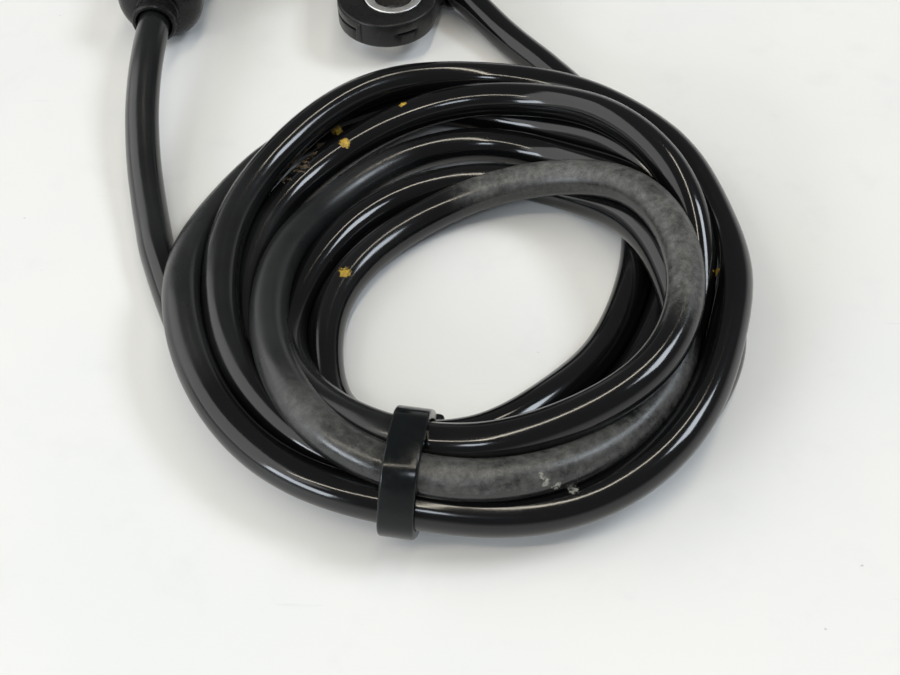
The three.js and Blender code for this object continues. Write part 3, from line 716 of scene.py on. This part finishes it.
def add_tie(centres):
    outline = snug_outline(strand_crossings(centres))
    deep, wide, tall = TIE_HEAD
    slot_deep, slot_wide, slot_long = TIE_TAIL
    x = outline[:, 0].min() - STRAP_THICKNESS / 2 - deep / 2
    z = TIE_HEAD_HEIGHT
    head = rounded_block(
        deep + STRAP_THICKNESS, wide, tall, (x + TIE_HEAD_SINK, 0, z), TIE_HEAD_ROUNDING,
    )
    passage = solid_box(slot_deep + TIE_SLOT_PLAY, slot_wide + TIE_SLOT_PLAY, 4 * tall, (x, 0, z))
    mesh = combined(strap_form(outline), [("UNION", head), ("DIFFERENCE", passage)])
    tie = piece_from_mesh("cable_tie_body", mesh, "tie_nylon", 40)
    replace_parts(tie, "cable_tie")
    tie.data.transform(Matrix.Scale(MM, 4) @ AT_TIE @ Matrix.Scale(1 / MM, 4))
    profile = tail_profile(slot_deep, z - tall / 2 + 0.4, z + tall / 2 + slot_long)
    rings = [[(x + out, side, up) for out, up in profile] for side in (-slot_wide / 2, slot_wide / 2)]
    end = piece_of("tie_tail_end", *moved(loft(rings), AT_TIE), "tie_nylon", 20)
    bevelled(end, 0.08, 1, 25)
    return tie, end


# Sensor head
def groove_share(degrees):
    """How deep the mould step is at an angle round the lug: whole on the rib's far side."""
    left = (LUG_RIB_ANGLE - 3 - degrees) / 3
    right = min(degrees - SHORT_GROOVE[0], SHORT_GROOVE[1] - degrees) / 4
    return min(1.0, max(0.0, left, right))


def eye_outline(inset, height, groove=0.0, turns=72):
    """Outline round the body's circle and the lug's circle, drawn in by an inset."""
    large, small = BODY_RADIUS - inset, LUG_RADIUS - inset
    x, y = -LUG_SHIFT, -BOLT_OFFSET
    distance = math.hypot(x, y)
    heading = math.atan2(y, x)
    spread = math.acos((large - small) / distance)
    ring = []
    for k in range(turns + 1):
        angle = heading + spread + (2 * math.pi - 2 * spread) * k / turns
        ring.append((large * math.cos(angle), large * math.sin(angle), height))
    for k in range(turns + 1):
        angle = heading - spread + 2 * spread * k / turns
        reach = small - groove * groove_share(math.degrees(angle))
        ring.append((x + reach * math.cos(angle), y + reach * math.sin(angle), height))
    return ring


def eye_form():
    step = LUG_BOTTOM + LUG_THICKNESS / 2
    under = rounded_edge(LUG_BOTTOM, 0, EDGE)
    levels = [(inset, 2 * LUG_BOTTOM - height, 0) for inset, height in reversed(under)]
    levels += [
        (0, step - 0.1, 0), (0, step, 0.08), (0, step + 0.08, LUG_GROOVE),
        (0, step + LUG_GROOVE - 0.06, LUG_GROOVE), (0, step + LUG_GROOVE, 0.06),
        (0, step + LUG_GROOVE + 0.1, 0),
    ]
    levels += [(inset, height, 0) for inset, height in rounded_edge(SEAT_HEIGHT, 0, EDGE)]
    return loft([eye_outline(*level) for level in levels])


def turned_block(radius, low, high, rounding=EDGE):
    """Upright disc with rounded rims, as a closed turned form."""
    rim = rounded_edge(rounding, 0, rounding)
    under = [(radius - inset, low + rounding - rise) for inset, rise in reversed(rim)]
    over = [(radius - inset, high - rounding + rise) for inset, rise in rim]
    return lathe([(0, low)] + under + over + [(0, high)])


def barrel_form():
    middle = SEAT_HEIGHT + O_RING_HEIGHT
    half = O_RING_SECTION / 2 + GAP
    groove = BARREL_RADIUS - (O_RING_SECTION - O_RING_PROUD + GAP)
    r = BARREL_RADIUS
    return lathe([
        (0, FLOOR_SKIN), (r + 0.5, FLOOR_SKIN), (r + 0.5, SEAT_HEIGHT), (r + 0.15, SEAT_HEIGHT + 0.12),
        (r, SEAT_HEIGHT + 0.5), (r, middle - half - 0.15), (r - 0.15, middle - half),
        (groove, middle - half), (groove, middle + half), (r - 0.15, middle + half),
        (r, middle + half + 0.15), (r, BARREL_TOP - 0.5), (r - 0.15, BARREL_TOP - 0.15),
        (r - 0.5, BARREL_TOP), (0, BARREL_TOP),
    ])


def add_head_moulding():
    body = turned_block(BODY_RADIUS, 0, SEAT_HEIGHT)
    boss = moved(lathe([
        (0, 0), (BOSS_RADIUS, 0), (BOSS_RADIUS, BOSS_REACH - 0.4),
        (BOSS_RADIUS - 0.12, BOSS_REACH - 0.12), (BOSS_RADIUS - 0.4, BOSS_REACH), (0, BOSS_REACH),
    ], 72), ALONG_EXIT)
    above = solid_box(80, 80, 10, (0, 0, SEAT_HEIGHT + 5))
    past_boss = moved(solid_box(
        40, 2 * SOCKET_RADIUS, BOLT_OFFSET, (0, 0, BOSS_REACH + BOLT_OFFSET / 2),
    ), ALONG_EXIT)
    rib_turn = Matrix.Translation((-LUG_SHIFT, -BOLT_OFFSET, 0)) @ Matrix.Rotation(
        math.radians(LUG_RIB_ANGLE), 4, "Z")
    rib_place = (LUG_RADIUS - LUG_RIB / 3, 0, LUG_BOTTOM + LUG_THICKNESS / 2)
    rib = moved(rounded_block(
        LUG_RIB, LUG_RIB, LUG_THICKNESS - 2 * EDGE, rib_place, 0.25,
    ), rib_turn)
    hole = moved(lathe([(0, -3), (BUSHING_RADIUS + GAP, -3), (BUSHING_RADIUS + GAP, 15), (0, 15)], 72),
                 AT_BOLT)
    socket = moved(lathe([(0, 9), (SOCKET_RADIUS, 9), (SOCKET_RADIUS, 20), (0, 20)], 64), ALONG_EXIT)
    channel = moved(lathe([(0, 3), (2.3, 3), (2.3, 10), (0, 10)], 32), ALONG_EXIT)
    cavity = lathe([(0, FLOOR_SKIN), (CAVITY_RADIUS, FLOOR_SKIN), (CAVITY_RADIUS, 40), (0, 40)], 72)
    crush_rib = rounded_block(
        *CRUSH_RIB, (BARREL_RADIUS - 0.12, 0, BARREL_TOP - CRUSH_RIB_DROP), 0.3,
    )
    crush_ribs = []
    for k in range(CRUSH_RIBS):
        turn = Matrix.Rotation(math.pi / 4 + 2 * math.pi * k / CRUSH_RIBS, 4, "Z")
        crush_ribs.append(("UNION", moved(crush_rib, turn)))
    mesh = combined(boss, [
        ("UNION", body), ("UNION", eye_form()), ("DIFFERENCE", above), ("UNION", rib),
        ("DIFFERENCE", past_boss), ("UNION", barrel_form()), *crush_ribs, ("DIFFERENCE", cavity),
        ("DIFFERENCE", hole), ("DIFFERENCE", socket), ("DIFFERENCE", channel),
    ])
    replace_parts(piece_from_mesh("head_moulding", mesh, "black_nylon", 38), "head_housing")


def add_bushing():
    low, high = LUG_BOTTOM - BUSHING_PROUD, SEAT_HEIGHT + BUSHING_PROUD
    r, q = BOLT_HOLE_RADIUS, BUSHING_RADIUS
    bushing = piece_of("eye_bushing", *moved(lathe([
        (r + 0.3, low), (q - 0.15, low), (q, low + 0.15), (q, high - 0.12), (q - 0.12, high),
        (r + 0.42, high), (r + 0.3, high - 0.06), (r, high - 0.4), (r, low + 0.3), (r + 0.3, low),
    ]), AT_BOLT), "bushing_steel", 30)
    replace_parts(bushing, "mount_bushing")


def add_o_ring():
    minor = O_RING_SECTION / 2
    major = BARREL_RADIUS + O_RING_PROUD - minor
    middle = SEAT_HEIGHT + O_RING_HEIGHT
    sides = 24
    section = []
    for k in range(sides + 1):
        angle = 2 * math.pi * k / sides
        section.append((major + minor * math.cos(angle), middle + minor * math.sin(angle)))
    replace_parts(piece_of("barrel_seal", *lathe(section), "black_rubber", 60), "head_o_ring")


def add_cap():
    flange = BARREL_TOP + GAP
    top = flange + CAP_THICKNESS
    radius = BARREL_RADIUS - EDGE
    plug = CAVITY_RADIUS - GAP
    rim = [(radius - inset, height) for inset, height in rounded_edge(top, 0, EDGE)]
    cap = piece_of("tip_cap_disc", *lathe([
        (0, BARREL_TOP - CAP_PLUG), (plug, BARREL_TOP - CAP_PLUG), (plug, flange),
        (radius, flange), *rim, (2.2, top), (1.9, top - CAP_DISH), (0, top - CAP_DISH),
    ]), "black_nylon", 30)
    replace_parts(cap, "tip_cap")


def add_sleeve():
    end = SLEEVE_START + SLEEVE_LENGTH
    mouth = BOSS_REACH + GAP
    profile = [(SLEEVE_BORE, SLEEVE_START), (SLEEVE_RADIUS, SLEEVE_START), (SLEEVE_RADIUS, mouth)]
    step = (end - mouth - 0.5) / SLEEVE_RIBS
    for i in range(SLEEVE_RIBS):
        at = mouth + i * step
        slim = SLEEVE_RADIUS - (SLEEVE_RADIUS - SLEEVE_TIP_RADIUS) * i / SLEEVE_RIBS
        neck = slim - SLEEVE_NECK
        profile += [(slim, at + 0.45 * step), (neck, at + 0.55 * step), (neck, at + 0.9 * step)]
    profile += [(SLEEVE_TIP_RADIUS, end - 0.45), (SLEEVE_TIP_RADIUS, end - 0.15),
                (SLEEVE_TIP_RADIUS - 0.1, end), (SLEEVE_BORE, end), (SLEEVE_BORE, SLEEVE_START)]
    sleeve = piece_of("cable_sleeve", *moved(lathe(profile, 64), ALONG_EXIT), "black_rubber", 30)
    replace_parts(sleeve, "head_strain_relief")


# Connector
def boot_profile():
    """Collar, neck, dome, two beads and the hollow inside, as (radius, distance along)."""
    bore = CABLE_RADIUS + GAP
    collar = COLLAR_RADIUS
    neck = collar - COLLAR_NECK
    wide = BOOT_RADIUS
    slim = wide - BEAD_DEPTH
    profile = [
        (bore, 0.25), (bore + 0.2, 0), (collar - 0.25, 0), (collar, 0.25), (collar, 1.7),
        (collar - 0.12, 1.9), (neck, 2.1), (neck, COLLAR_END - 0.25),
    ]
    start = neck + 0.2
    steps = 14
    for i in range(steps + 1):
        angle = math.pi / 2 * i / steps
        rise = (DOME_END - COLLAR_END) * (1 - math.cos(angle))
        profile.append((start + (wide - start) * math.sin(angle), COLLAR_END + rise))
    for at in BOOT_BEADS:
        profile += [(wide, at), (slim, at + BEAD_DEPTH), (slim, at + 0.95), (wide, at + 1.3)]
    inner = wide - BOOT_WALL
    return profile + [
        (wide, BOOT_LENGTH - 0.3), (wide - 0.3, BOOT_LENGTH), (inner, BOOT_LENGTH),
        (inner, BOOT_SHOULDER + BOOT_WALL), (bore, BOOT_BORE_LENGTH), (bore, 0.25),
    ]


def add_connector():
    boot = piece_of(
        "boot_moulding", *moved(lathe(boot_profile()), ALONG_CONNECTOR), "black_rubber", 32,
    )
    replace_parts(boot, "connector_boot")
    shroud = moulded_copy("connector_housing", "plug_shroud", "black_nylon", SHROUD_EDGE)
    ribs = []
    for side in (-1, 1):
        for k in range(GRIP_RIBS):
            place = (side * (SHROUD_WIDTH / 2 - 0.05), 0, SHROUD_START + GRIP_START + GRIP_PITCH * k)
            ribs.append(rounded_block(*GRIP_RIB, place, 0.3))
    grip = piece_of("plug_grip", *moved(joined(*ribs), ALONG_CONNECTOR), "black_nylon", 30)
    return boot, shroud, grip


# Materials
class Finish:
    """A Principled material whose colour, roughness and relief come from procedural patterns."""

    def __init__(self, name, metallic=0.0, ior=1.5):
        self.material = bpy.data.materials.new(name)
        self.material.use_nodes = True
        self.tree = self.material.node_tree
        self.surface = self.tree.nodes["Principled BSDF"]
        self.surface.inputs["Metallic"].default_value = metallic
        self.surface.inputs["IOR"].default_value = ior
        self.place = self.add("ShaderNodeTexCoord").outputs["Object"]
        self.relief = None

    def add(self, kind, **settings):
        node = self.tree.nodes.new(kind)
        for key, value in settings.items():
            setattr(node, key, value)
        return node

    def feed(self, socket, value):
        if isinstance(value, bpy.types.NodeSocket):
            self.tree.links.new(value, socket)
        else:
            socket.default_value = value

    def noise(self, size, detail=3.0, rough=0.55, place=None):
        """Cloudy pattern, 0 to 1, whose features are about size millimetres wide."""
        node = self.add("ShaderNodeTexNoise")
        self.feed(node.inputs["Vector"], place or self.place)
        self.feed(node.inputs["Scale"], 1 / (size * MM))
        self.feed(node.inputs["Detail"], detail)
        self.feed(node.inputs["Roughness"], rough)
        return node.outputs["Fac"]

    def stretched(self, scale):
        node = self.add("ShaderNodeVectorMath", operation="MULTIPLY")
        self.feed(node.inputs[0], self.place)
        self.feed(node.inputs[1], scale)
        return node.outputs[0]

    def field(self, name):
        return self.add("ShaderNodeAttribute", attribute_name=name).outputs["Fac"]

    def spread(self, value, low, high, first=0.0, last=1.0):
        """Map low..high of a value to first..last, held at both ends."""
        node = self.add("ShaderNodeMapRange")
        node.clamp = True
        for name, number in zip(("Value", "From Min", "From Max", "To Min", "To Max"),
                                (value, low, high, first, last)):
            self.feed(node.inputs[name], number)
        return node.outputs[0]

    def maths(self, operation, first, second):
        node = self.add("ShaderNodeMath", operation=operation)
        self.feed(node.inputs[0], first)
        self.feed(node.inputs[1], second)
        return node.outputs[0]

    def blend(self, share, first, second):
        node = self.add("ShaderNodeMix", data_type="RGBA")
        self.feed(node.inputs[0], share)
        self.feed(node.inputs[6], first)
        self.feed(node.inputs[7], second)
        return node.outputs[2]

    def facing_up(self):
        """1 where the surface faces up, 0 where it faces sideways or down."""
        normal = self.add("ShaderNodeNewGeometry").outputs["Normal"]
        parts = self.add("ShaderNodeSeparateXYZ")
        self.feed(parts.inputs[0], normal)
        return self.spread(parts.outputs["Z"], 0.1, 0.75)

    def near(self, point, radius, ragged):
        """1 inside a ragged spot round a point, 0 outside."""
        node = self.add("ShaderNodeVectorMath", operation="DISTANCE")
        self.feed(node.inputs[0], self.place)
        self.feed(node.inputs[1], point)
        radius *= MM
        reach = self.maths("ADD", node.outputs["Value"], self.maths("MULTIPLY", ragged, radius * 2.4))
        return self.spread(reach, radius * 2.25, radius * 2.05)

    def bump(self, height, depth):
        """Add relief of about depth millimetres."""
        node = self.add("ShaderNodeBump")
        self.feed(node.inputs["Strength"], 1.0)
        self.feed(node.inputs["Distance"], depth * MM)
        self.feed(node.inputs["Height"], height)
        if self.relief is not None:
            self.feed(node.inputs["Normal"], self.relief)
        self.relief = node.outputs["Normal"]
        self.feed(self.surface.inputs["Normal"], self.relief)

    def finish(self, colour, roughness):
        self.feed(self.surface.inputs["Base Color"], colour)
        self.feed(self.surface.inputs["Roughness"], roughness)
        return self.material


# Colours of the cable and of what lies on it
JACKET_GLOSS = rgb(0.0042, 0.0043, 0.0047)
JACKET_FILM = rgb(0.017, 0.018, 0.0185)
JACKET_SPECK = rgb(0.07, 0.065, 0.055)
WORN_DARK = rgb(0.024, 0.0242, 0.0238)
WORN_PALE = rgb(0.13, 0.13, 0.122)
DIRT_COLOUR = rgb(0.15, 0.105, 0.06)
FLAKE_COLOUR = rgb(0.33, 0.32, 0.28)
PAINT_DARK = rgb(0.34, 0.2, 0.02)
PAINT_PALE = rgb(0.6, 0.4, 0.04)


def spot_mask(f, spots, ragged, solid):
    """1 on the ragged spots where the solid pattern is 1 too."""
    mask = f.near(*spots[0], ragged)
    for point, radius in spots[1:]:
        mask = f.maths("MAXIMUM", mask, f.near(point, radius, ragged))
    return f.maths("MULTIPLY", mask, solid)


def jacket_finish(spots):
    f = Finish("cable_jacket_finish", ior=1.52)
    broad = f.noise(7, 3)
    fine = f.noise(0.9, 5, 0.7)
    grain = f.noise(0.18, 2)
    up = f.facing_up()
    scuffed = f.maths("MULTIPLY", f.field("scuffed"), f.spread(up, 0, 1, 0.25, 1))
    broken = f.spread(f.maths("ADD", broad, f.maths("MULTIPLY", fine, 0.7)), 0.62, 0.92)
    scuff = f.maths("MULTIPLY", scuffed, f.spread(broken, 0, 1, 0.35, 1))
    matt = f.field("matt")
    film = f.maths("MULTIPLY", matt, f.spread(broad, 0.3, 0.7, 0.7, 1))
    colour = f.blend(film, JACKET_GLOSS, JACKET_FILM)
    specks = f.spread(fine, 0.66, 0.74)
    colour = f.blend(f.maths("MULTIPLY", specks, 0.25), colour, JACKET_SPECK)
    mottle = f.spread(f.maths("ADD", f.noise(1.1, 6, 0.72), f.maths("MULTIPLY", grain, 0.4)), 0.5, 0.88)
    colour = f.blend(scuff, colour, f.blend(mottle, WORN_DARK, WORN_PALE))
    ragged = f.noise(0.55, 3, 0.65)
    dirt = spot_mask(f, spots["dirt"], ragged, f.spread(fine, 0.45, 0.6))
    flakes = spot_mask(f, spots["flakes"], ragged, f.spread(fine, 0.46, 0.56))
    paint = spot_mask(f, spots["paint"], ragged, f.spread(fine, 0.36, 0.46))
    colour = f.blend(dirt, colour, DIRT_COLOUR)
    colour = f.blend(flakes, colour, FLAKE_COLOUR)
    colour = f.blend(paint, colour, f.blend(f.spread(ragged, 0.4, 0.6), PAINT_DARK, PAINT_PALE))
    rough = f.spread(broad, 0.3, 0.7, 0.09, 0.14)
    rough = f.maths("ADD", rough, f.maths("MULTIPLY", film, 0.22))
    rough = f.maths("ADD", rough, f.maths("MULTIPLY", scuff, 0.36))
    marks = f.maths("MAXIMUM", f.maths("MAXIMUM", paint, dirt), flakes)
    rough = f.maths("ADD", rough, f.maths("MULTIPLY", marks, 0.35))
    f.bump(f.noise(11, 1), 0.09)
    f.bump(f.noise(2.2, 2), 0.008)
    f.bump(f.maths("MULTIPLY", grain, scuffed), 0.02)
    f.bump(marks, 0.08)
    return f.finish(colour, rough)


def plastic_finish(name, base, worn, rough, grain_depth, speck=0.0):
    f = Finish(name, ior=1.37)
    broad = f.noise(5, 3)
    fine = f.noise(0.8, 5, 0.7)
    grain = f.noise(0.22, 2)
    dust = f.maths("MULTIPLY", f.spread(broad, 0.42, 0.72), 0.45)
    colour = f.blend(dust, rgb(*base), rgb(*worn))
    colour = f.blend(f.maths("MULTIPLY", f.spread(fine, 0.62, 0.72), speck), colour,
                     rgb(*[3.2 * c for c in worn]))
    f.bump(broad, 0.03)
    f.bump(grain, grain_depth)
    return f.finish(colour, f.spread(fine, 0.3, 0.7, rough - 0.07, rough + 0.09))


def metal_finish(name, base, stain, rough, scratch_scale, shade_painted_below=None):
    f = Finish(name, metallic=1.0)
    broad = f.noise(2.2, 4)
    lines = f.noise(0.35, 3, 0.6, f.stretched(scratch_scale))
    colour = f.blend(f.spread(broad, 0.5, 0.75, 0, 0.75), rgb(*base), rgb(*stain))
    # Painted shade: below the given height, in the bore and round the sides, the colour is darkened as
    # if in shadow
    if shade_painted_below is not None:
        parts = f.add("ShaderNodeSeparateXYZ")
        f.feed(parts.inputs[0], f.place)
        below = f.spread(parts.outputs["Z"], (shade_painted_below - 0.4) * MM, shade_painted_below * MM, 1, 0)
        colour = f.blend(below, colour, rgb(0.09, 0.085, 0.08))
    f.bump(lines, 0.012)
    rough = f.maths("ADD", f.spread(lines, 0.3, 0.7, rough - 0.08, rough + 0.08),
                    f.spread(broad, 0.5, 0.75, 0, 0.15))
    return f.finish(colour, rough)


def floor_finish():
    f = Finish("table_finish")
    broad = f.noise(60, 3)
    smudge = f.noise(9, 4, 0.6)
    colour = f.blend(f.spread(broad, 0.35, 0.65), rgb(0.82, 0.825, 0.82), rgb(0.86, 0.855, 0.835))
    colour = f.blend(f.spread(smudge, 0.56, 0.8, 0, 0.35), colour, rgb(0.74, 0.745, 0.75))
    lines = f.noise(2.2, 2, 0.5, f.stretched((0.12, 1.4, 1)))
    colour = f.blend(f.spread(lines, 0.73, 0.78, 0, 0.3), colour, rgb(0.6, 0.61, 0.64))
    dots = f.noise(1.6, 1)
    colour = f.blend(f.spread(dots, 0.8, 0.83, 0, 0.6), colour, rgb(0.35, 0.35, 0.36))
    f.surface.inputs["Specular IOR Level"].default_value = 0.25
    f.finish(colour, 0.5)
    reach = f.add("ShaderNodeVectorMath", operation="LENGTH")
    f.feed(reach.inputs[0], f.place)
    backdrop = f.add("ShaderNodeEmission")
    backdrop.inputs["Color"].default_value = PALE
    fade = f.add("ShaderNodeMixShader")
    f.feed(fade.inputs[0], f.spread(reach.outputs["Value"], 0.35, 0.9))
    f.feed(fade.inputs[1], f.surface.outputs[0])
    f.feed(fade.inputs[2], backdrop.outputs[0])
    f.feed(f.tree.nodes["Material Output"].inputs["Surface"], fade.outputs[0])
    return f.material


def assign(target, material):
    """Give a piece or a carried-over CAD node one material."""
    if target.material_slots:
        for entry in target.material_slots:
            entry.link = "OBJECT"
            entry.material = material
    else:
        target.data.materials.append(material)


# Plastics by slot: name, colour, worn colour, roughness, depth of grain and share of specks
PLASTICS = {
    "black_nylon": (
        "moulded_nylon", (0.0085, 0.0087, 0.009), (0.021, 0.0205, 0.019), 0.31, 0.008, 0.12,
    ),
    "black_rubber": (
        "moulded_rubber", (0.0075, 0.0075, 0.0078), (0.017, 0.0165, 0.016), 0.27, 0.006, 0.1,
    ),
    "tie_nylon": (
        "tie_nylon_finish", (0.0045, 0.0058, 0.0062), (0.007, 0.009, 0.0095), 0.17, 0.001, 0.02,
    ),
    "seal_rubber": ("silicone_seal", (0.05, 0.14, 0.09), (0.08, 0.17, 0.12), 0.5, 0.006),
    "pale_plastic": ("natural_plastic", (0.5, 0.45, 0.34), (0.42, 0.37, 0.27), 0.45, 0.006),
    "magnet": ("dark_parts", (0.03, 0.03, 0.033), (0.05, 0.05, 0.055), 0.5, 0.006),
    "core_white": ("white_core", (0.66, 0.64, 0.58), (0.56, 0.53, 0.46), 0.4, 0.004),
    "core_brown": ("brown_core", (0.13, 0.05, 0.025), (0.1, 0.04, 0.02), 0.4, 0.004),
}
# Metals by slot: name, colour, stain, roughness, stretch of the scratches and the height below which
# shade is painted
METALS = {
    # painted shade: the bushing is darkened below its rim, in the bore and on its sides
    "bushing_steel": (
        "zinc_steel", (0.76, 0.76, 0.75), (0.42, 0.39, 0.35), 0.48, (1, 1, 0.15), SEAT_HEIGHT - 0.15,
    ),
    "tinned_contact": ("tinned_brass", (0.7, 0.68, 0.62), (0.5, 0.46, 0.38), 0.28, (1, 0.15, 1)),
}


def add_materials(spots):
    by_slot = {"cable_jacket": jacket_finish(spots)}
    for slot, row in PLASTICS.items():
        by_slot[slot] = plastic_finish(*row)
    for slot, row in METALS.items():
        by_slot[slot] = metal_finish(*row)
    by_slot["chip_epoxy"] = by_slot["magnet"]
    for piece in PIECES.values():
        assign(piece, by_slot[piece["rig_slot"]])
    for row in frame["record"]["subparts"]:
        assign(NODES[row["node"]], by_slot[row["material_slot"]])


# Table, light and world
TABLE_HALF = 1.6                    # metres
TABLE_DROP = 0.00002
PALE = rgb(0.84, 0.84, 0.83)
CREAM = (1.0, 0.93, 0.78)
COOL = (0.84, 0.92, 1.0)
WHITE = (1.0, 1.0, 0.98)


def add_floor():
    size = TABLE_HALF
    mesh = bpy.data.meshes.new("table")
    mesh.from_pydata(
        [(-size, -size, 0), (size, -size, 0), (size, size, 0), (-size, size, 0)], [], [(0, 1, 2, 3)],
    )
    table = bpy.data.objects.new("table", mesh)
    table.location = (0, 0, -TABLE_DROP)
    mesh.materials.append(floor_finish())
    bpy.context.scene.collection.objects.link(table)


def add_light(name, place, size, level, colour, heading=None):
    """Rectangular lamp that faces the coil. Its level is how bright its surface is."""
    data = bpy.data.lights.new(name, "AREA")
    data.shape = "RECTANGLE"
    data.size, data.size_y = size
    data.energy = level * math.pi * size[0] * size[1]
    data.color = colour
    lamp = bpy.data.objects.new(name, data)
    away = Vector(place)
    lamp.location = Vector((*COIL_CENTRE, 10)) * MM + away
    back = away.normalized()
    long_side = Vector(heading) if heading else Vector((0, 0, 1)).cross(back)
    long_side = (long_side - back * long_side.dot(back)).normalized()
    turn = Matrix((long_side, back.cross(long_side), back)).transposed()
    lamp.rotation_euler = turn.to_euler()
    bpy.context.scene.collection.objects.link(lamp)


def toward(azimuth, elevation):
    """Place one metre away from the coil, in degrees round it and above it."""
    a, e = math.radians(azimuth), math.radians(elevation)
    return (math.cos(e) * math.cos(a), math.cos(e) * math.sin(a), math.sin(e))


def add_world():
    world = bpy.data.worlds.new("room")
    bpy.context.scene.world = world
    world.use_nodes = True
    tree = world.node_tree
    place = tree.nodes.new("ShaderNodeTexCoord").outputs["Generated"]
    parts = tree.nodes.new("ShaderNodeSeparateXYZ")
    tree.links.new(place, parts.inputs[0])
    ramp = tree.nodes.new("ShaderNodeValToRGB")
    ramp.color_ramp.elements[0].position = 0.0
    ramp.color_ramp.elements[0].color = PALE
    ramp.color_ramp.elements[1].position = 0.3
    ramp.color_ramp.elements[1].color = rgb(0.14, 0.14, 0.145)
    tree.links.new(parts.outputs["Z"], ramp.inputs[0])
    tree.links.new(ramp.outputs[0], tree.nodes["Background"].inputs["Color"])
    tree.nodes["Background"].inputs["Strength"].default_value = 1.0


def add_lights():
    add_light("tube_north", (0.12, 0.08, 1.0), (1.0, 0.055), 15, CREAM, heading=(0.27, 0.96, 0))
    add_light("tube_west", (-0.36, -0.34, 1.0), (0.76, 0.055), 15, CREAM, heading=(1, 0.1, 0))
    add_light("window_east", toward(9, 50), (0.34, 0.26), 12, COOL)
    add_light("window_southwest", toward(221, 20), (0.4, 0.24), 11, COOL)
    add_light("window_behind", toward(-92, 50), (0.14, 0.14), 12, COOL)
    add_light("left_wall", toward(176, 34), (1.4, 0.85), 1.6, WHITE)


def main():
    camera = add_camera()
    cable, centres = add_cable()
    tie, tail_end = add_tie(centres)
    add_head_moulding()
    add_bushing()
    add_o_ring()
    add_cap()
    add_sleeve()
    with_cable = [tie, tail_end, *add_connector()]
    for name in ("rear_retainer", "wire_seal_a", "wire_seal_b", "pin_a", "pin_b", "terminal_lock",
                 "interface_seal", "connector_core_a", "connector_core_b"):
        with_cable.append(NODES[name])
    tree = BVHTree.FromPolygons(
        [v.co.copy() for v in cable.data.vertices], [tuple(p.vertices) for p in cable.data.polygons],
    )
    spots = {}
    for kind, table in (("paint", PAINT_FLECKS), ("dirt", DIRT_SPOTS), ("flakes", PALE_FLAKES)):
        spots[kind] = []
        for x, y, radius in table:
            start, direction = ray_through(camera, x, y)
            point = tree.ray_cast(start, direction)[0]
            if point is not None:
                spots[kind].append((tuple(point), radius))
    add_materials(spots)
    add_floor()
    add_lights()
    add_world()
    bpy.context.scene.view_settings.view_transform = "Standard"


main()
